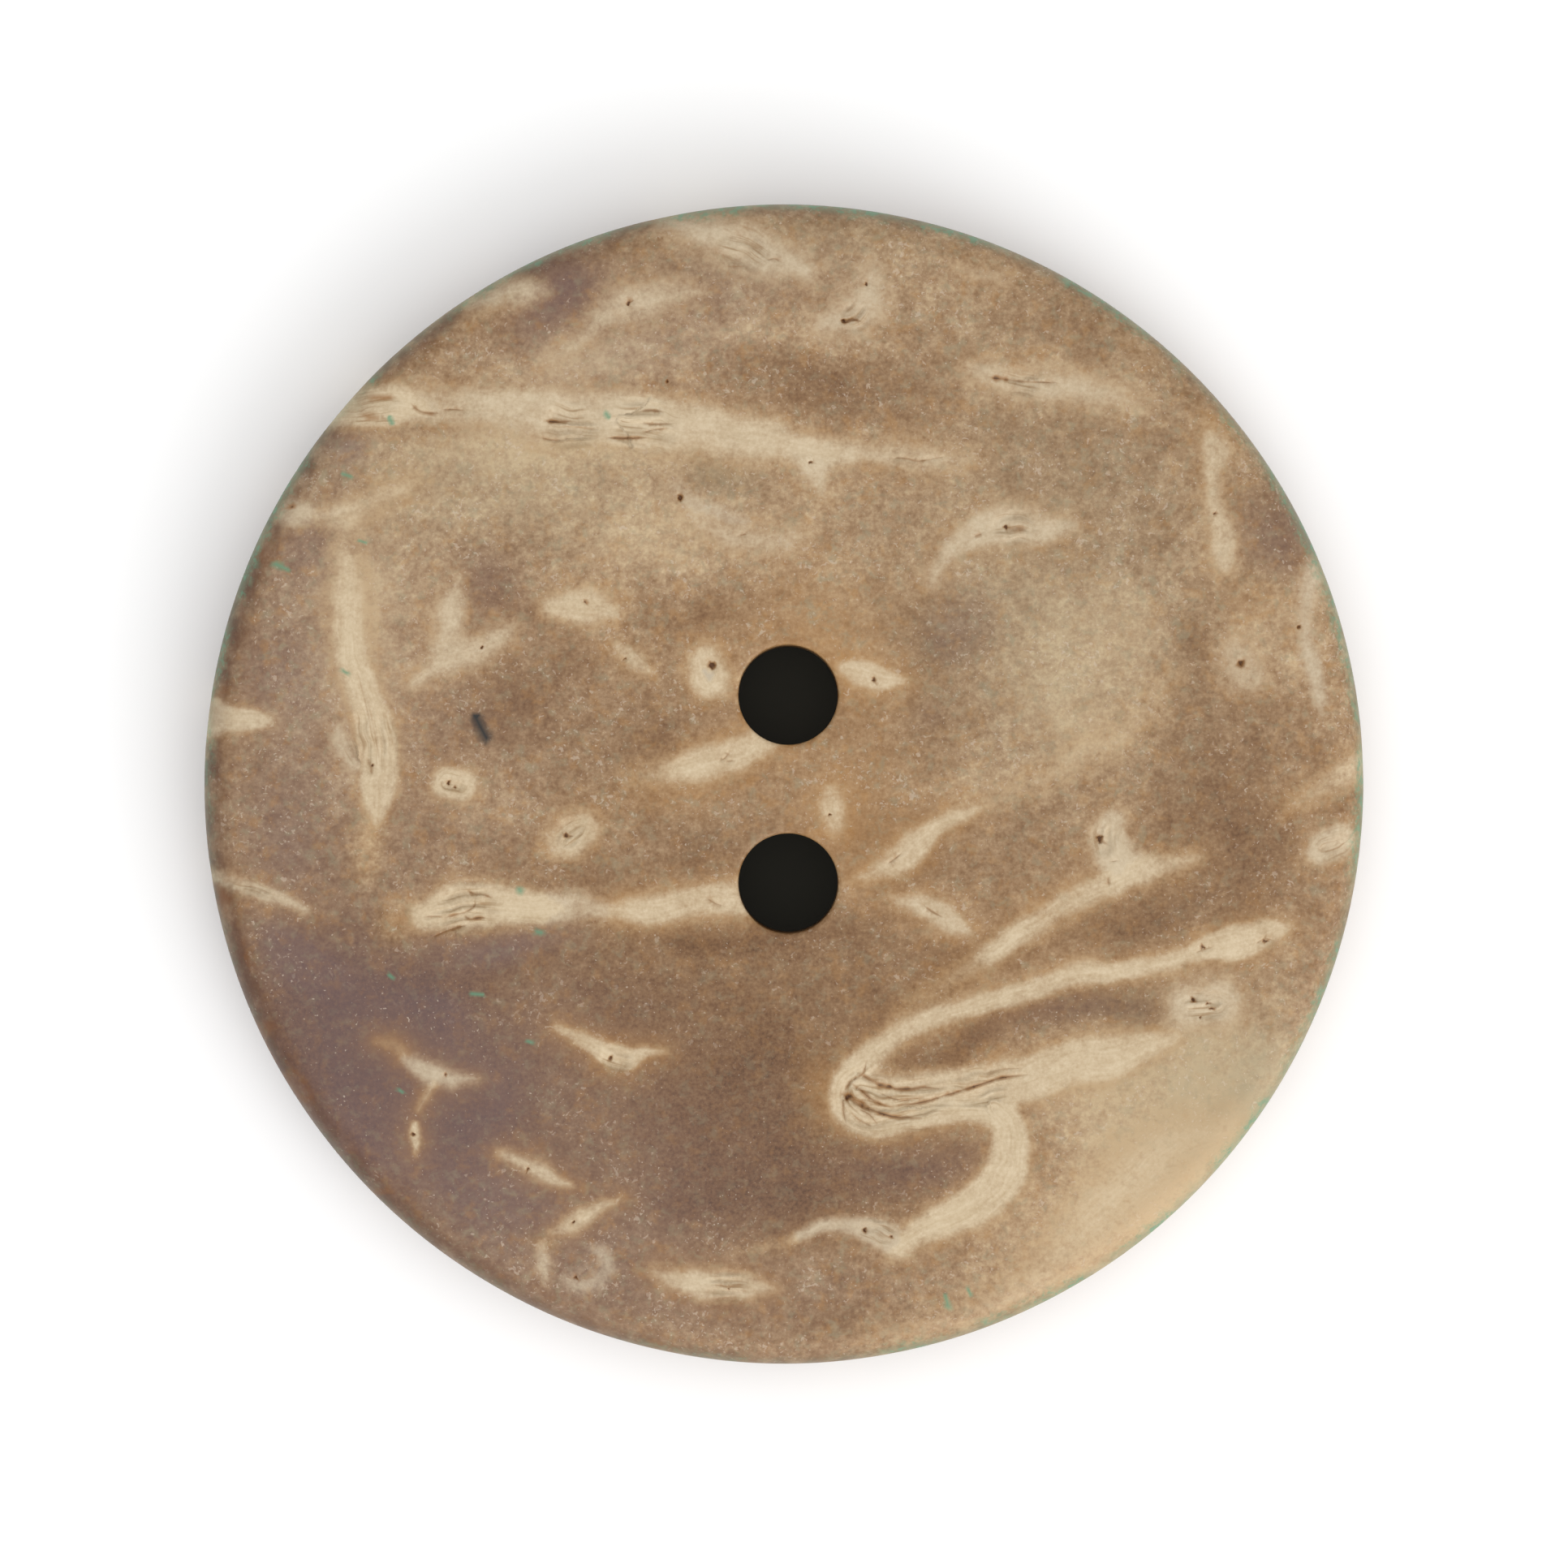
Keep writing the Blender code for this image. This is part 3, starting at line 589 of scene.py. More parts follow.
def hex_grid(spacing, radius):
    """Points on a triangular grid inside a circle about the origin."""
    reach = math.ceil(radius / spacing) + 2
    column, row = np.meshgrid(np.arange(-reach, reach + 1), np.arange(-reach * 2, reach * 2 + 1))
    x = (column + 0.5 * (row % 2)) * spacing
    y = row * spacing * math.sqrt(3) / 2
    points = np.stack([x.ravel(), y.ravel()], axis=1)
    return points[np.hypot(points[:, 0], points[:, 1]) < radius]


def outside_holes(points, margin):
    keep = np.ones(len(points), bool)
    for centre in HOLE_CENTRES:
        keep &= away_from(centre, points) > HOLE_RADIUS + HOLE_BREAK + margin
    return points[keep]


SHOULDER = 1.9  # how far out a crack's outer points lie, in its half widths
GROOVE_STEP = 0.05  # mm between a crack's points
GROOVE_SPACING = 0.018  # mm, and no two points of cracks and pores are nearer than this
RIM_GAP = 0.06  # mm left free along the front's outer ring
MOUTH_GAP = 0.05  # mm left free along a thread hole's ring


def groove_points():
    """Points along every split's floor and shoulders, and in rings round every pore."""
    found = []
    for split in SPLITS + SMEARS + SLATE_SPLINTERS:
        line = flowing(split.line, GROOVE_STEP)[:, :2]
        along = np.gradient(line, axis=0)
        along /= np.linalg.norm(along, axis=1)[:, None]
        sideways = np.stack([-along[:, 1], along[:, 0]], axis=1) * split.width
        found += [line, line + sideways, line - sideways]
        found += [line[::2] + SHOULDER * sideways[::2], line[::2] - SHOULDER * sideways[::2]]
    for x, y, radius in PORES:
        found += [np.array([[x, y]]), circle((x, y), 0.45 * radius, 6), circle((x, y), 0.8 * radius, 9)]
        found.append(circle((x, y), 1.15 * radius, 12))
    return np.vstack(found)


def thinned(points, spacing, taken=()):
    """The points, less each one nearer than `spacing` to a kept or taken one."""
    everything = list(taken) + list(points)
    tree = kdtree.KDTree(len(everything))
    for i, (x, y) in enumerate(everything):
        tree.insert((x, y, 0.0), i)
    tree.balance()
    dropped = set()
    for i in range(len(taken), len(everything)):
        x, y = everything[i]
        for _, other, _ in tree.find_range((x, y, 0.0), spacing):
            if other < i and other not in dropped:
                dropped.add(i)
                break
    return np.array([everything[i] for i in range(len(taken), len(everything)) if i not in dropped])


def flat_face(radius, hole_radius, inner_points):
    """A triangulated disc with both thread holes: points, triangles, and where each ring's points start."""
    rings = [circle((0, 0), radius, RING_STEPS)]
    rings += [circle(centre, hole_radius, HOLE_STEPS) for centre in HOLE_CENTRES]
    starts = [int(start) for start in np.cumsum([0] + [len(ring) for ring in rings])]
    points = np.vstack(rings + [inner_points])
    edges = []
    for start, ring in zip(starts, rings):
        edges += [(start + i, start + (i + 1) % len(ring)) for i in range(len(ring))]
    made = delaunay_2d_cdt([Vector(point) for point in points], edges, [], 0, 1e-7)
    if len(made[0]) != len(points):
        raise ValueError("two points of a face fell together")
    triangles = np.array(made[2])
    middles = points[triangles].mean(1)
    keep = np.ones(len(triangles), bool)
    for centre in HOLE_CENTRES:
        keep &= away_from(centre, middles) > hole_radius
    return points, triangles[keep], starts


def crown_height(r):
    """Height of the front at radius r, out to where its rounded edge starts."""
    share = np.clip((r - LAND_RADIUS) / (RADIUS - FRONT_EDGE_RADIUS - LAND_RADIUS), 0, None)
    return THICKNESS - CROWN_DROP * share**2


def crown_slope(r):
    reach = RADIUS - FRONT_EDGE_RADIUS - LAND_RADIUS
    return -2 * CROWN_DROP * np.clip(r - LAND_RADIUS, 0, None) / reach**2


def edge_rows():
    """The turned edge from front to back, less its first and last ring: radius, height, normal out and up."""
    top, bottom = THICKNESS - CROWN_DROP - FRONT_EDGE_RADIUS, BACK_EDGE_RADIUS
    rows = []
    for i in range(1, FRONT_EDGE_ROWS + 1):
        a = math.pi / 2 * (1 - i / FRONT_EDGE_ROWS)
        radius = RADIUS - FRONT_EDGE_RADIUS + FRONT_EDGE_RADIUS * math.cos(a)
        rows.append((radius, top + FRONT_EDGE_RADIUS * math.sin(a), math.cos(a), math.sin(a)))
    for i in range(1, SIDE_ROWS + 1):
        rows.append((RADIUS, top + (bottom - top) * i / SIDE_ROWS, 1.0, 0.0))
    for i in range(1, BACK_EDGE_ROWS):
        a = -math.pi / 2 * i / BACK_EDGE_ROWS
        radius = RADIUS - BACK_EDGE_RADIUS + BACK_EDGE_RADIUS * math.cos(a)
        rows.append((radius, bottom + BACK_EDGE_RADIUS * math.sin(a), math.cos(a), math.sin(a)))
    return rows


def hole_rows():
    """A hole's wall from front to back, without its two mouths' own rings: radius and height."""
    half = HOLE_RADIUS + HOLE_BREAK / 3
    rows = [(half, THICKNESS - HOLE_BREAK / 3)]
    for i in range(HOLE_WALL_ROWS + 1):
        rows.append((HOLE_RADIUS, THICKNESS - HOLE_BREAK + (2 * HOLE_BREAK - THICKNESS) * i / HOLE_WALL_ROWS))
    rows.append((half, HOLE_BREAK / 3))
    return rows


def band(rows, maps):
    """Quads between rows of vertex indices that close on themselves, and their corners in the bake map."""
    faces, corners = [], []
    for upper, lower, upper_map, lower_map in zip(rows, rows[1:], maps, maps[1:]):
        count = len(upper)
        for i in range(count):
            j = (i + 1) % count
            faces.append((upper[i], lower[i], lower[j], upper[j]))
            corners.append((upper_map[i], lower_map[i], lower_map[i + 1], upper_map[i + 1]))
    return faces, corners


DRIFT = np.array([0.45, -0.3])  # how far the veins slant sideways for each mm they go down
PATTERN_DEPTH = 0.8  # they stand upright down to this depth, in mm, and openings go no deeper
FRONT, EDGE, BACK, HOLE = 0, 1, 2, 3


class Solid:
    """Gathers the piece's vertices, with each one's normal, place in the pattern and part of the surface."""

    def __init__(self):
        self.places, self.normals, self.pattern, self.kinds = [], [], [], []
        self.faces, self.corners = [], []
        self.count = 0

    def add(self, places, normals, kind):
        places = np.asarray(places, float)
        depth = THICKNESS - places[:, 2:3]
        self.places.append(places)
        self.normals.append(np.asarray(normals, float))
        self.pattern.append(places[:, :2] + DRIFT * np.clip(depth - PATTERN_DEPTH, 0, None))
        self.kinds.append(np.full(len(places), kind))
        first = self.count
        self.count += len(places)
        return np.arange(first, self.count)

    def add_faces(self, faces, corners, flipped=False):
        """Faces by vertex index, with their corners in the bake map. Flipped ones are turned inside out."""
        order = -1 if flipped else 1
        self.faces += [tuple(int(v) for v in face[::order]) for face in faces]
        self.corners += [uv for face in corners for uv in face[::order]]


def front_points(front_radius):
    """The front's inner points: along cracks and pores, a fine grid where torn, and a plain one elsewhere."""
    grooves = thinned(outside_holes(groove_points(), MOUTH_GAP), GROOVE_SPACING)
    grooves = grooves[np.hypot(grooves[:, 0], grooves[:, 1]) < front_radius - RIM_GAP]
    fine = outside_holes(hex_grid(TORN_SPACING, front_radius - RIM_GAP), MOUTH_GAP)
    torn = torn_field(fine) > 0
    fine = thinned(fine[torn], 0.6 * TORN_SPACING, taken=list(grooves))
    taken = np.vstack([grooves, fine])
    grid = outside_holes(hex_grid(FRONT_SPACING, front_radius - 0.6 * FRONT_SPACING), 0.5 * FRONT_SPACING)
    grid = thinned(grid, 0.5 * FRONT_SPACING, taken=list(taken))
    return np.vstack([taken, grid])


def add_front(solid):
    """The flat land and the crown. Returns the outer ring and each hole's ring."""
    radius = RADIUS - FRONT_EDGE_RADIUS
    points, triangles, starts = flat_face(radius, HOLE_RADIUS + HOLE_BREAK, front_points(radius))
    r = np.hypot(points[:, 0], points[:, 1])
    outward = points / np.maximum(r, 1e-9)[:, None]
    normals = np.column_stack([-crown_slope(r)[:, None] * outward, np.ones(len(points))])
    normals /= np.linalg.norm(normals, axis=1)[:, None]
    front = solid.add(np.column_stack([points, crown_height(r)]), normals, FRONT)
    solid.add_faces(front[triangles], front_uv(points)[triangles])
    return [front[first:last] for first, last in zip(starts, starts[1:])]


def add_back(solid):
    radius = RADIUS - BACK_EDGE_RADIUS
    inner = outside_holes(hex_grid(BACK_SPACING, radius - 0.6 * BACK_SPACING), 0.5 * BACK_SPACING)
    points, triangles, starts = flat_face(radius, HOLE_RADIUS + HOLE_BREAK, inner)
    down = np.tile([0.0, 0.0, -1.0], (len(points), 1))
    back = solid.add(np.column_stack([points, np.zeros(len(points))]), down, BACK)
    solid.add_faces(back[triangles], back_uv(points)[triangles], flipped=True)
    return [back[first:last] for first, last in zip(starts, starts[1:])]


def add_edge(solid, front_ring, back_ring):
    direction = circle((0, 0), 1.0, RING_STEPS)
    closed = np.vstack([direction, direction[:1]])
    reach = RADIUS - FRONT_EDGE_RADIUS
    last = (reach, crown_height(reach))
    rows, maps = [front_ring], [front_uv(closed * reach)]
    for radius, height, out, up in edge_rows():
        reach += math.hypot(radius - last[0], height - last[1])
        last = (radius, height)
        places = np.column_stack([direction * radius, np.full(RING_STEPS, height)])
        facing = np.column_stack([direction * out, np.full(RING_STEPS, up)])
        rows.append(solid.add(places, facing, EDGE))
        maps.append(front_uv(closed * reach))
    reach += math.hypot(RADIUS - BACK_EDGE_RADIUS - last[0], last[1])
    solid.add_faces(*band(rows + [back_ring], maps + [front_uv(closed * reach)]))


def add_hole(solid, number, front_ring, back_ring):
    inward = np.column_stack([-circle((0, 0), 1.0, HOLE_STEPS), np.zeros(HOLE_STEPS)])
    rows = [front_ring]
    for radius, height in hole_rows():
        ring = circle(HOLE_CENTRES[number], radius, HOLE_STEPS)
        rows.append(solid.add(np.column_stack([ring, np.full(HOLE_STEPS, height)]), inward, HOLE))
    rows.append(back_ring)
    maps = [hole_uv(number, row) for row in range(len(rows))]
    solid.add_faces(*band(rows, maps), flipped=True)


def build_solid():
    solid = Solid()
    front_rings = add_front(solid)
    back_rings = add_back(solid)
    add_edge(solid, front_rings[0], back_rings[0])
    for number in range(len(HOLE_CENTRES)):
        add_hole(solid, number, front_rings[number + 1], back_rings[number + 1])
    return solid


# --- The bake map: front and edge as one big disc, the back as a small one, the holes as two strips ---

FRONT_MIDDLE, BAKE_FRONT = 0.42, 0.418  # each disc's middle and radius, in shares of the map
BACK_MIDDLE, BAKE_BACK = 0.84, 0.155
STRIP_START, STRIP_LENGTH = 0.86, 0.12  # each hole's strip, along the map
STRIP_LOW, STRIP_ROW, STRIP_PITCH = 0.02, 0.01, 0.16  # and across it: from row to row, and hole to hole
UNROLLED_RADIUS = 15.3  # the front's radius plus the length of the turned edge


def front_uv(unrolled):
    return FRONT_MIDDLE + unrolled / UNROLLED_RADIUS * BAKE_FRONT


def back_uv(points):
    return BACK_MIDDLE + points * np.array([-1, 1]) / RADIUS * BAKE_BACK


def hole_uv(number, row):
    along = np.arange(HOLE_STEPS + 1) / HOLE_STEPS
    across = np.full(HOLE_STEPS + 1, STRIP_LOW + STRIP_ROW * row + STRIP_PITCH * number)
    return np.column_stack([STRIP_START + STRIP_LENGTH * along, across])


FAR_AWAY = 1000.0  # mm, where no mark reaches


def surface_fields(solid):
    """Every attribute of the surface, by name, at the piece's vertices."""
    pattern = np.vstack(solid.pattern)
    places = np.vstack(solid.places)
    kinds = np.concatenate(solid.kinds)
    on_back = kinds == BACK
    pattern[on_back] = wander(pattern[on_back], 4.0, 1.5, 51)
    fields = vein_fields(pattern)
    for name, patches in (("tone", TONES), ("warmth", WARMTHS), ("green", GREENS)):
        fields[name] = patch_field(pattern, patches)
    fields["tone"] += GLOW * fields["glow"]
    depth, painted_shade = opening_fields(pattern)
    shown = np.isin(kinds, (FRONT, EDGE)) & (places[:, 2] > THICKNESS - PATTERN_DEPTH)
    fields["depth"] = depth * shown
    fields["recess_shade"] = painted_shade * shown
    torn = torn_field(pattern) * smoothstep(0.2, 0.6, fields["vein"]) * shown
    fields["torn"] = torn
    fields["furrow"] = torn * (1 - fibre_field(fields))
    fields["back"] = on_back.astype(float)
    fields.update(edge_fields(places, kinds))
    fields["burn_and_shade"] *= 1 - 0.85 * fields["vein"]
    shown_places = np.where(shown[:, None], pattern, FAR_AWAY)
    fields["smear"] = mark_field(shown_places, SMEARS)
    fields["slate"] = mark_field(shown_places, SLATE_SPLINTERS)
    return fields


# Green polish on the turned edge: it sets in between each pair, and one side of the disc was wiped cleaner.
POLISH_HEIGHTS = (1.7, 2.2)
SPECKED_RADII = (12.15, 12.45)
LINE_RADII = (12.25, 12.44)
WIPED_SIDE = 224  # degrees anticlockwise from +X
BURN_AND_SHADE_RADIUS = 12.3  # the cutter's burn and the edge's painted shade start here, and on the left side, away from the light, the lead below nearer the middle
SHADED_SIDE_LEAD = 0.38


def edge_fields(places, kinds):
    """How burnt the turned edge is, with painted shade that darkens it most on the left, and how much green
    polish it holds, scattered and in its line.
    """
    r = np.hypot(places[:, 0], places[:, 1])
    angle = np.arctan2(places[:, 1], places[:, 0])
    # Painted shade: weight 1 on the left, the side turned away from the light, falling to 0 on the right.
    towards_left = 0.5 + 0.5 * np.cos(angle - math.radians(180))
    start = BURN_AND_SHADE_RADIUS - SHADED_SIDE_LEAD * towards_left
    outer = (kinds != HOLE) & (kinds != BACK)
    high = smoothstep(*POLISH_HEIGHTS, places[:, 2])
    held = 1 - 0.75 * smoothstep(0.4, 0.9, np.cos(angle - math.radians(WIPED_SIDE)))
    return {
        "burn_and_shade": smoothstep(start, start + 0.3, r) * (0.15 + 0.85 * towards_left) * outer,
        "residue": smoothstep(*SPECKED_RADII, r) * (0.2 + 0.8 * high) * held * outer,
        "polish_line": smoothstep(*LINE_RADII, r) * high * held * outer,
    }


def mark_field(points, marks):
    """1 inside any of the marks and 0 outside."""
    cover = np.zeros(len(points))
    for mark in marks:
        line = flowing(mark.line, GROOVE_STEP)
        near = close_to(line, points, 3 * mark.width)
        if len(near) == 0:
            continue
        distance = nearest_on(line, points[near])[0]
        cover[near] = np.maximum(cover[near], smoothstep(1.3 * mark.width, 0.7 * mark.width, distance))
    return cover


def torn_field(points):
    torn = np.zeros(len(points))
    for x, y, radius in TORN_AREAS:
        distance = away_from((x, y), points)
        torn = np.maximum(torn, smoothstep(1.15 * radius, 0.5 * radius, distance))
    return torn


def fibre_field(fields):
    """The torn fibres' relief, 0 in a furrow and 1 on a ridge: long along the vein and narrow across it."""
    fine = lattice_noise(np.column_stack([fields["along"] / 9.0, fields["across"]]), 0.085, 61)
    broad = lattice_noise(np.column_stack([fields["along"] / 4.0, fields["across"]]), 0.22, 62)
    return 0.65 * smoothstep(0.3, 0.7, fine) + 0.35 * smoothstep(0.4, 0.6, broad)


# Relief, in mm: how far the veins lie sunk, the furrows between torn fibres, and the whole face's waves.
VEIN_DIP = 0.006
FIBRE_RELIEF = 0.09
WAVINESS = 0.012


def displaced(solid, fields):
    places = np.vstack(solid.places)
    normals = np.vstack(solid.normals)
    kinds = np.concatenate(solid.kinds)
    outer = np.isin(kinds, (FRONT, EDGE)).astype(float)
    height = -VEIN_DIP * fields["vein"] - FIBRE_RELIEF * fields["furrow"] - fields["depth"]
    height -= WAVINESS * lattice_noise(np.vstack(solid.pattern), 2.5, 71)
    return places + normals * (height * outer)[:, None]


ATTRIBUTES = (
    "vein", "amber", "grey", "along", "across", "tone", "warmth", "green", "recess_shade", "torn", "burn_and_shade",
    "residue", "polish_line", "smear", "slate", "back",
)


def make_mesh(name):
    solid = build_solid()
    fields = surface_fields(solid)
    mesh = bpy.data.meshes.new(name)
    mesh.from_pydata((displaced(solid, fields) * MM).tolist(), [], solid.faces)
    for attribute in ATTRIBUTES:
        layer = mesh.attributes.new(attribute, "FLOAT", "POINT")
        layer.data.foreach_set("value", fields[attribute].astype(np.float32))
    bake_map = mesh.uv_layers.new(name="OFBake")
    bake_map.data.foreach_set("uv", np.array(solid.corners, np.float32).ravel())
    mesh.shade_smooth()
    mesh.validate()
    mesh.update()
    return mesh


# --- Materials ---

LIGHT_LEVEL = 1.28  # how bright a white front face is under this studio light
SHEEN_LEVEL = 0.045  # what the surface's polish adds to that


def shown_as(red, green, blue):
    """The base colour that this studio light shows as these 0-255 values."""
    linear = []
    for value in (red, green, blue):
        value /= 255
        value = value / 12.92 if value <= 0.04045 else ((value + 0.055) / 1.055) ** 2.4
        linear.append(max(0.002, (value - SHEEN_LEVEL) / LIGHT_LEVEL))
    return (*linear, 1.0)


GROUND_COLOURS = (
    (0.0, shown_as(104, 79, 60)),
    (0.2, shown_as(129, 99, 75)),
    (0.4, shown_as(148, 118, 90)),
    (0.6, shown_as(168, 139, 109)),
    (0.8, shown_as(190, 163, 130)),
    (1.0, shown_as(212, 188, 152)),
)
PURPLE = shown_as(120, 102, 104)
AMBER = shown_as(184, 138, 86)
RUST = shown_as(152, 104, 66)
SAGE = shown_as(158, 150, 124)
CREAM = shown_as(224, 205, 174)
CREAM_DEEP = shown_as(199, 176, 142)
TAN = shown_as(192, 162, 124)
CREAM_GREY = shown_as(200, 186, 164)
FLECK = shown_as(224, 208, 188)
# Painted shade in cracks and pores over their brown: the lighter colour for shallow cracks, the darker for
# deep cracks and pores.
CRACK_BROWN_AND_SHADE = shown_as(158, 108, 58)
PIT_SHADE = shown_as(112, 80, 36)
# Painted shade in the furrows between torn fibres.
FURROW_SHADE = shown_as(152, 118, 80)
SLATE = (0.006, 0.005, 0.004, 1.0)
RESIDUE = shown_as(106, 158, 128)
# The burnt edge's colour, which also paints the shade on the edge's left side.
BURNT_AND_SHADED_EDGE = shown_as(98, 72, 54)


class Graph:
    """Adds shader nodes. An input given as a socket is linked, and any other value is set."""

    def __init__(self, material):
        material.use_nodes = True
        self.tree = material.node_tree
        self.tree.nodes.clear()

    def node(self, kind, inputs, **settings):
        made = self.tree.nodes.new(kind)
        for name, value in settings.items():
            setattr(made, name, value)
        for key, value in inputs.items():
            if isinstance(value, bpy.types.NodeSocket):
                self.tree.links.new(value, made.inputs[key])
            else:
                made.inputs[key].default_value = value
        return made

    def attribute(self, name):
        return self.node("ShaderNodeAttribute", {}, attribute_name=name).outputs["Fac"]

    def math(self, operation, *values, clamp=False):
        inputs = dict(enumerate(values))
        return self.node("ShaderNodeMath", inputs, operation=operation, use_clamp=clamp).outputs[0]

    def times(self, first, second):
        return self.math("MULTIPLY", first, second)

    def scale_add(self, value, factor, added, clamp=False):
        return self.math("MULTIPLY_ADD", value, factor, added, clamp=clamp)

    def mix(self, share, first, second):
        inputs = {0: share, 6: first, 7: second}
        return self.node("ShaderNodeMix", inputs, data_type="RGBA").outputs[2]

    def tint(self, colour, hue, share, amount):
        """The colour, turned to the hue by share times amount."""
        return self.mix(self.times(share, amount), colour, hue)

    def noise(self, where, scale, detail, roughness, distortion=0.0):
        inputs = {"Vector": where, "Scale": scale, "Detail": detail, "Roughness": roughness}
        return self.node("ShaderNodeTexNoise", {**inputs, "Distortion": distortion}).outputs["Fac"]

    def span(self, value, low, high, to_low=0.0, to_high=1.0, kind="SMOOTHSTEP"):
        inputs = {"Value": value, "From Min": low, "From Max": high, "To Min": to_low, "To Max": to_high}
        return self.node("ShaderNodeMapRange", inputs, interpolation_type=kind, clamp=True).outputs[0]

    def scaled(self, where, factors):
        return self.node("ShaderNodeVectorMath", {0: where, 1: factors}, operation="MULTIPLY").outputs[0]

    def ramp(self, share, stops):
        made = self.node("ShaderNodeValToRGB", {0: share})
        elements = made.color_ramp.elements
        while len(elements) < len(stops):
            elements.new(0.5)
        for element, (position, colour) in zip(elements, stops):
            element.position = position
            element.color = colour
        return made.outputs["Color"]


def ground_colour(graph, where, attribute, grain):
    """Mottled brown: clouds, blotches and stipple in tone, with warm, purple and grey-green drifts."""
    tone = graph.math("ADD", attribute["tone"], 0.51)
    strength = graph.span(tone, 0.0, 0.7, 0.35, 1.1)
    strength = graph.times(strength, graph.span(tone, 0.68, 0.92, 1.0, 0.6))
    stippled = graph.span(tone, 0.2, 1.0, 1.0, 0.7)
    textures = (
        ("clouds", 0.4, strength),
        ("blotches", 0.55, strength),
        ("mottle", 0.62, strength),
        ("stipple", 0.64, stippled),
    )
    for name, amount, share in textures:
        variation = graph.times(graph.math("SUBTRACT", grain[name], 0.5), amount)
        tone = graph.scale_add(variation, share, tone)
    colour = graph.ramp(tone, GROUND_COLOURS)
    cool = graph.span(attribute["warmth"], 0.0, -1.0, kind="LINEAR")
    colour = graph.tint(colour, PURPLE, cool, 0.62)
    warm = graph.span(attribute["warmth"], 0.0, 1.0, kind="LINEAR")
    colour = graph.tint(colour, AMBER, warm, 0.4)
    spots = (
        (AMBER, graph.noise(where, 3.2, 3.0, 0.6), 0.32),
        (RUST, graph.noise(where, 8.5, 2.0, 0.6), 0.16),
        (SAGE, graph.noise(where, 4.2, 3.0, 0.6, 0.4), 0.45),
    )
    for hue, noise, amount in spots:
        share = graph.times(graph.span(noise, 0.5, 0.72), amount)
        colour = graph.tint(colour, hue, share, strength)
    patchy = graph.scale_add(grain["blotches"], 0.6, 0.15)
    return graph.tint(colour, SAGE, attribute["green"], patchy)


def vein_colour(graph, flow, attribute, grain):
    """Cream fibres, streaked along their own flow, a little grainy, with painted shade in the gaps where they
    stand torn.
    """
    streaks = graph.noise(graph.scaled(flow, (0.9, 11.0, 1.0)), 1.0, 2.0, 0.55)
    share = graph.scale_add(grain["blotches"], 0.5, -0.2)
    share = graph.scale_add(grain["stipple"], 0.6, share)
    share = graph.scale_add(streaks, 0.7, share)
    colour = graph.mix(graph.span(share, 0.35, 0.9, kind="LINEAR"), CREAM_DEEP, CREAM)
    colour = graph.mix(graph.span(attribute["vein"], 0.2, 0.75), TAN, colour)
    colour = graph.tint(colour, CREAM_GREY, attribute["grey"], 0.85)
    # Painted shade in the gaps between torn fibres.
    shaded_gaps = graph.times(graph.span(streaks, 0.5, 0.3), attribute["torn"])
    colour = graph.tint(colour, FURROW_SHADE, shaded_gaps, 0.6)
    return colour, streaks


def vein_mask(graph, attribute, grain):
    """The veins' cover, with a ragged edge where it is neither full nor none."""
    raggedness = graph.scale_add(grain["mottle"], 1.1, graph.times(grain["stipple"], 0.8))
    raggedness = graph.scale_add(grain["blotches"], 0.9, graph.math("SUBTRACT", raggedness, 1.4))
    edge = graph.times(attribute["vein"], graph.math("SUBTRACT", 1.0, attribute["vein"]))
    moved = graph.scale_add(graph.times(raggedness, edge), 2.2, attribute["vein"])
    return graph.span(moved, 0.04, 0.96, kind="LINEAR")


def light_flecks(graph, where, attribute):
    """Pale curled flakes about a tenth of a millimetre across, crowded in some places and few in others."""
    crowd = graph.noise(where, 0.9, 3.0, 0.6)
    middling = graph.span(attribute["tone"], -0.4, -0.05, 0.15, 1.0)
    flakes = graph.noise(where, 8.5, 2.0, 0.6, 0.5)
    level = graph.scale_add(crowd, -0.3, 0.77)
    soft = graph.span(graph.math("SUBTRACT", flakes, level), 0.0, 0.1)
    soft = graph.times(soft, middling)
    grains = graph.noise(where, 15.0, 1.0, 0.5)
    level = graph.scale_add(crowd, -0.25, 0.83)
    bright = graph.span(graph.math("SUBTRACT", grains, level), 0.0, 0.08)
    return graph.math("MAXIMUM", graph.times(soft, 0.34), graph.times(bright, 0.46))


def rim_colour(graph, where, attribute, colour):
    """The turned edge: a little burnt by the cutter and darkened on the left by painted shade, with green
    polish left in specks and in a thin line.
    """
    patchy = graph.span(graph.noise(where, 1.6, 3.0, 0.6), 0.35, 0.6, 0.35, 1.0)
    # Burnt edge colour, partly real burn and partly painted shade on the side away from the light.
    burn_and_shade = graph.times(attribute["burn_and_shade"], patchy)
    colour = graph.tint(colour, BURNT_AND_SHADED_EDGE, burn_and_shade, 0.8)
    rusty = graph.span(graph.noise(where, 1.1, 2.0, 0.5), 0.55, 0.65)
    colour = graph.tint(colour, RUST, graph.times(burn_and_shade, rusty), 0.35)
    specks = graph.span(graph.noise(where, 5.5, 3.0, 0.7), 0.5, 0.58)
    runs = graph.span(graph.noise(where, 0.7, 2.0, 0.5), 0.42, 0.58, 0.15, 1.0)
    scattered = graph.times(attribute["residue"], graph.times(specks, runs))
    line = graph.times(attribute["polish_line"], graph.span(runs, 0.0, 1.0, 0.3, 0.8))
    line = graph.times(line, graph.scale_add(specks, 0.45, 0.55))
    left = graph.times(graph.math("MAXIMUM", scattered, line), 0.75)
    left = graph.math("MAXIMUM", left, graph.times(attribute["smear"], 0.75))
    return graph.mix(left, colour, RESIDUE)


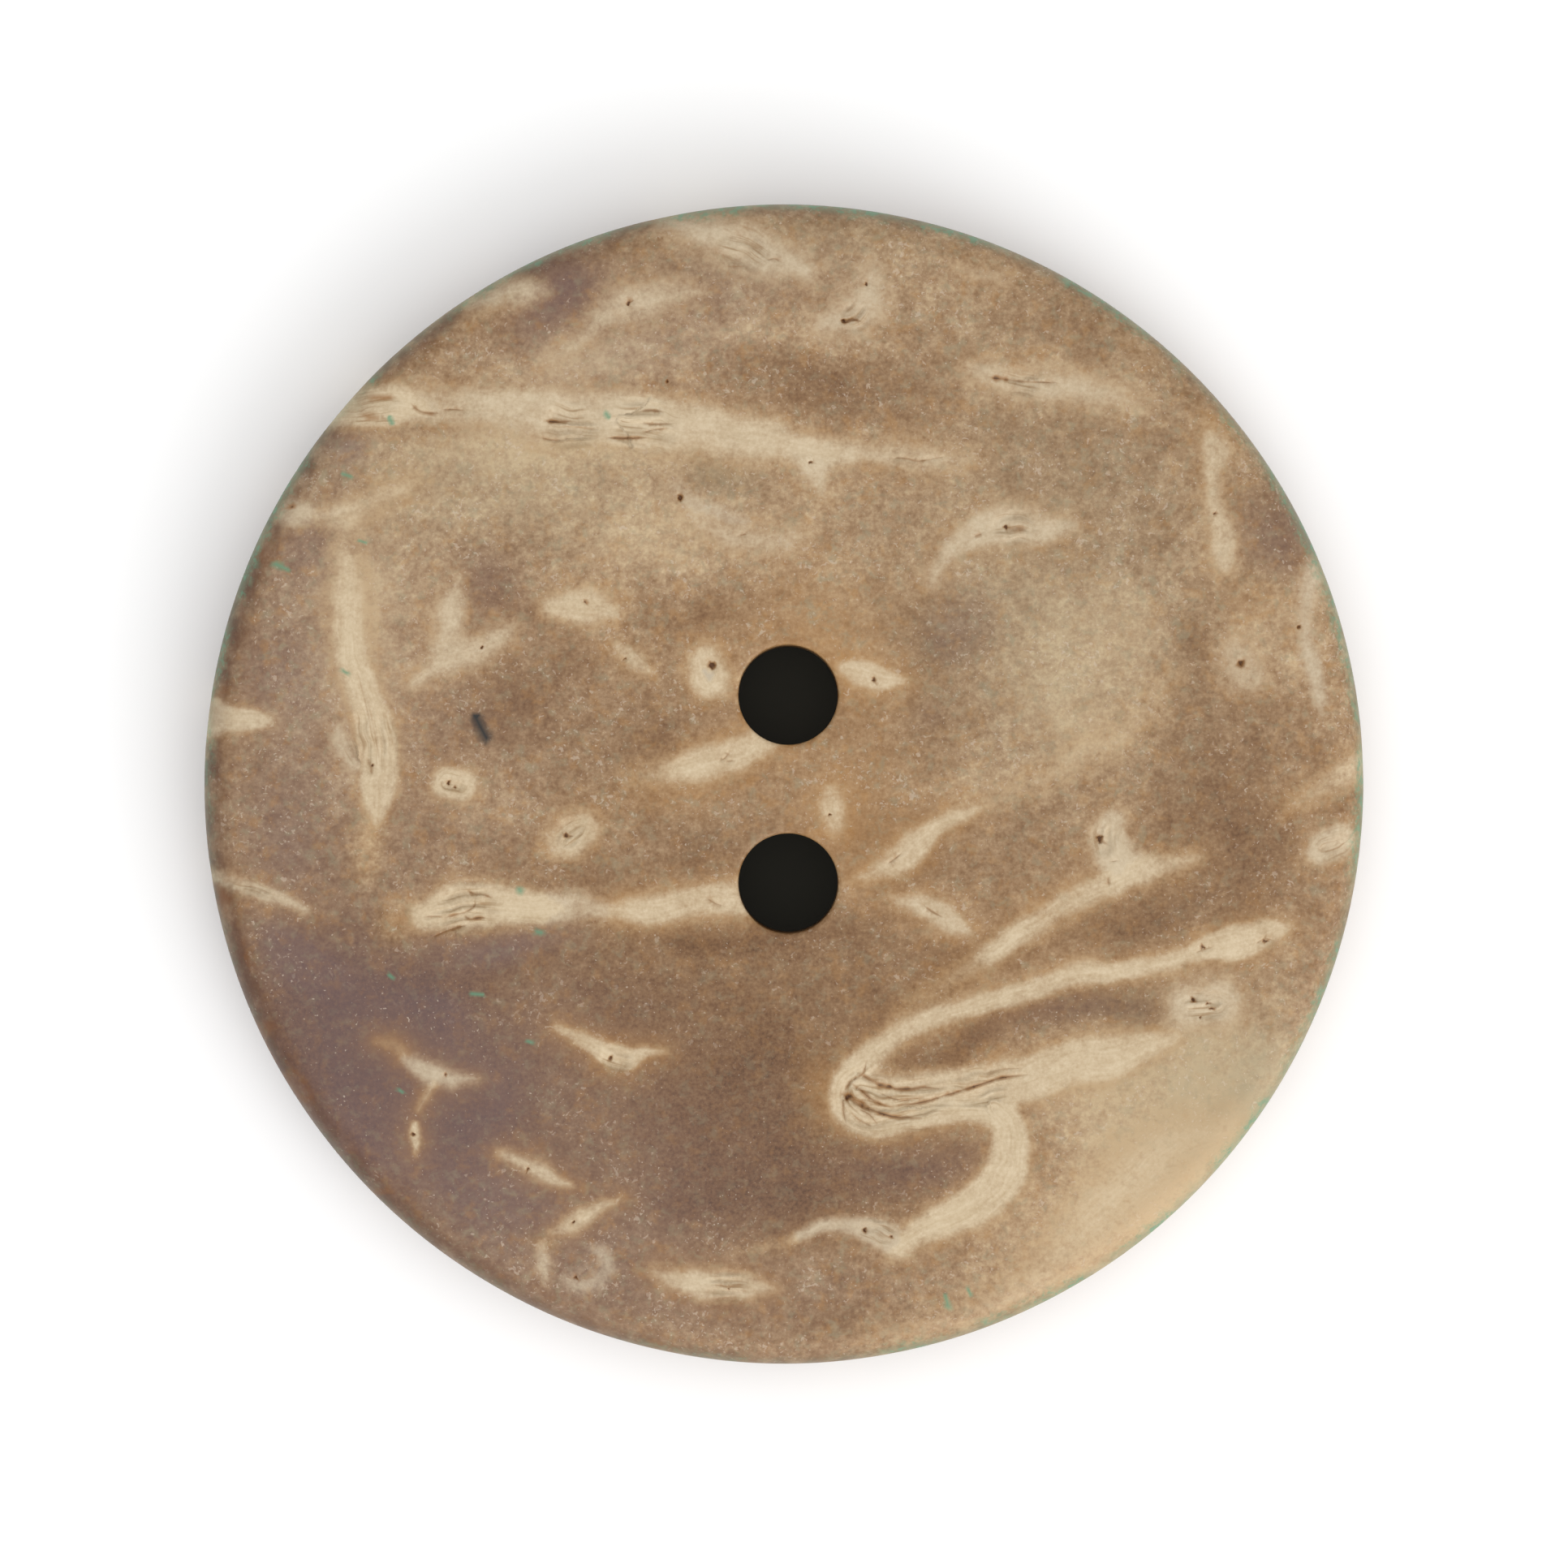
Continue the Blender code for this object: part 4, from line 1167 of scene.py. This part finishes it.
def shell_material():
    material = bpy.data.materials.new("polished_coconut_shell")
    graph = Graph(material)
    attribute = {name: graph.attribute(name) for name in ATTRIBUTES}
    place = graph.node("ShaderNodeTexCoord", {}).outputs["Object"]
    where = graph.scaled(place, (1 / MM, 1 / MM, 1 / MM))
    flow = graph.node("ShaderNodeCombineXYZ", {0: attribute["along"], 1: attribute["across"]}).outputs[0]
    grain = {
        "clouds": graph.noise(where, 0.9, 3.0, 0.55),
        "blotches": graph.noise(where, 2.6, 3.0, 0.55),
        "mottle": graph.noise(where, 6.0, 2.0, 0.55),
        "stipple": graph.noise(where, 13.0, 2.0, 0.6),
    }

    colour = ground_colour(graph, where, attribute, grain)
    colour = graph.tint(colour, AMBER, attribute["amber"], 0.45)
    colour = graph.mix(light_flecks(graph, where, attribute), colour, FLECK)
    cover = vein_mask(graph, attribute, grain)
    cream, streaks = vein_colour(graph, flow, attribute, grain)
    colour = graph.mix(cover, colour, cream)
    colour = rim_colour(graph, where, attribute, colour)
    colour = graph.mix(attribute["slate"], colour, SLATE)
    # Painted shade in cracks and pores, mixed over the colour by how deep they lie.
    floor = graph.mix(graph.span(attribute["recess_shade"], 0.65, 0.95), CRACK_BROWN_AND_SHADE, PIT_SHADE)
    colour = graph.tint(colour, floor, attribute["recess_shade"], 0.95)

    rough = graph.scale_add(cover, 0.14, 0.42)
    rough = graph.scale_add(grain["stipple"], 0.12, rough)
    rough = graph.scale_add(attribute["back"], 0.15, rough, clamp=True)
    fibres = graph.times(streaks, graph.scale_add(attribute["torn"], 2.0, cover))
    relief = graph.math("ADD", fibres, grain["stipple"])
    bump = graph.node("ShaderNodeBump", {"Strength": 0.6, "Distance": 0.008 * MM, "Height": relief})
    shader = graph.node(
        "ShaderNodeBsdfPrincipled",
        {"Base Color": colour, "Roughness": rough, "Normal": bump.outputs[0], "Specular IOR Level": 0.4},
    )
    graph.node("ShaderNodeOutputMaterial", {"Surface": shader.outputs[0]})
    return material


# --- The piece ---


def placed(name, data):
    """A new object with this data, in the scene."""
    thing = bpy.data.objects.new(name, data)
    bpy.context.scene.collection.objects.link(thing)
    return thing


def make_button():
    button = placed("coconut_button", make_mesh("coconut_button"))
    button.data.materials.append(shell_material())
    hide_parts("button_disc")
    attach(button, "root")


# --- The studio ---

FLOOR_GAP = 0.06  # mm under the button's back
FLOOR_RADIUS = 4000.0
CARD_RADIUS = 6.0
DISC_STEPS = 96
FLOOR_COLOUR = (0.9, 0.9, 0.9)
CARD_COLOUR = (0.055, 0.055, 0.047)


def towards(azimuth, elevation):
    """A direction, from its angles in degrees: azimuth anticlockwise from +X, elevation up from the floor."""
    flat = math.cos(math.radians(elevation))
    x, y = math.cos(math.radians(azimuth)), math.sin(math.radians(azimuth))
    return Vector((flat * x, flat * y, math.sin(math.radians(elevation))))


TOWARDS_WINDOW = towards(305, 10)
TOWARDS_KEY = towards(305, 38)
EVEN_LIGHT = 0.70
OVERHEAD_LIGHT = 1.05
HORIZON_LIGHT = 0.85
WINDOW_LIGHT = 0.95
KEY_SIZE = 0.4
KEY_DISTANCE = 0.6
KEY_ENERGY = 0.8


def plain_material(name, colour, roughness, specular):
    material = bpy.data.materials.new(name)
    material.use_nodes = True
    shader = material.node_tree.nodes["Principled BSDF"]
    shader.inputs["Base Color"].default_value = (*colour, 1.0)
    shader.inputs["Roughness"].default_value = roughness
    shader.inputs["Specular IOR Level"].default_value = specular
    return material


def flat_disc(name, radius, height, material):
    mesh = bpy.data.meshes.new(name)
    outline = circle((0, 0), radius, DISC_STEPS)
    places = np.column_stack([outline, np.full(len(outline), height)]) * MM
    mesh.from_pydata(places.tolist(), [], [tuple(range(len(outline)))])
    mesh.materials.append(material)
    disc = placed(name, mesh)


def make_floor():
    """White paper, with a small black card on it that the button's holes look down on."""
    flat_disc("floor", FLOOR_RADIUS, -FLOOR_GAP, plain_material("white_paper", FLOOR_COLOUR, 0.9, 0.0))
    flat_disc("black_card", CARD_RADIUS, -FLOOR_GAP / 2, plain_material("black_card", CARD_COLOUR, 0.9, 0.0))


def make_world():
    """A white tent: even all round, brighter overhead and at the horizon, brightest to the lower right."""
    world = bpy.data.worlds.new("studio")
    bpy.context.scene.world = world
    graph = Graph(world)
    direction = graph.node("ShaderNodeTexCoord", {}).outputs["Generated"]
    height = graph.node("ShaderNodeSeparateXYZ", {0: direction}).outputs[2]
    facing = graph.node("ShaderNodeVectorMath", {0: direction, 1: TOWARDS_WINDOW}, operation="DOT_PRODUCT")
    light = graph.span(height, 0.75, 1.0, EVEN_LIGHT, EVEN_LIGHT + OVERHEAD_LIGHT)
    light = graph.math("ADD", light, graph.span(height, 0.0, 0.5, HORIZON_LIGHT, 0.0))
    light = graph.math("ADD", light, graph.span(facing.outputs["Value"], 0.3, 1.0, 0.0, WINDOW_LIGHT))
    background = graph.node("ShaderNodeBackground", {"Strength": light})
    background.inputs["Color"].default_value = (1.0, 1.0, 1.0, 1.0)
    graph.node("ShaderNodeOutputWorld", {"Surface": background.outputs[0]})


def make_key_light():
    """A soft lamp on the window's side, so that small relief has a lit side and a shaded one."""
    lamp = bpy.data.lights.new("key", "AREA")
    lamp.shape = "DISK"
    lamp.size = KEY_SIZE
    lamp.energy = KEY_ENERGY
    key = placed("key", lamp)
    key.location = TOWARDS_KEY * KEY_DISTANCE
    key.rotation_euler = (-key.location).to_track_quat("-Z", "Y").to_euler()


LENS = 200.0
SENSOR = 36.0
DISC_SHARE = 0.7396  # how much of the picture's width the disc spans


def make_camera():
    """A long lens looking straight down on the disc's centre, with +Y up in the picture."""
    data = bpy.data.cameras.new("camera")
    data.lens = LENS
    data.sensor_width = SENSOR
    camera = placed("camera", data)
    widest = THICKNESS - CROWN_DROP - FRONT_EDGE_RADIUS
    distance = 2 * RADIUS / DISC_SHARE * LENS / SENSOR
    camera.location = (0.0, 0.0, (widest + distance) * MM)
    data.clip_start = 10 * MM
    data.clip_end = 10.0
    bpy.context.scene.camera = camera


def set_colour_management():
    bpy.context.scene.view_settings.view_transform = "Standard"
    bpy.context.scene.view_settings.look = "None"


make_camera()
make_button()
make_floor()
make_world()
make_key_light()
set_colour_management()
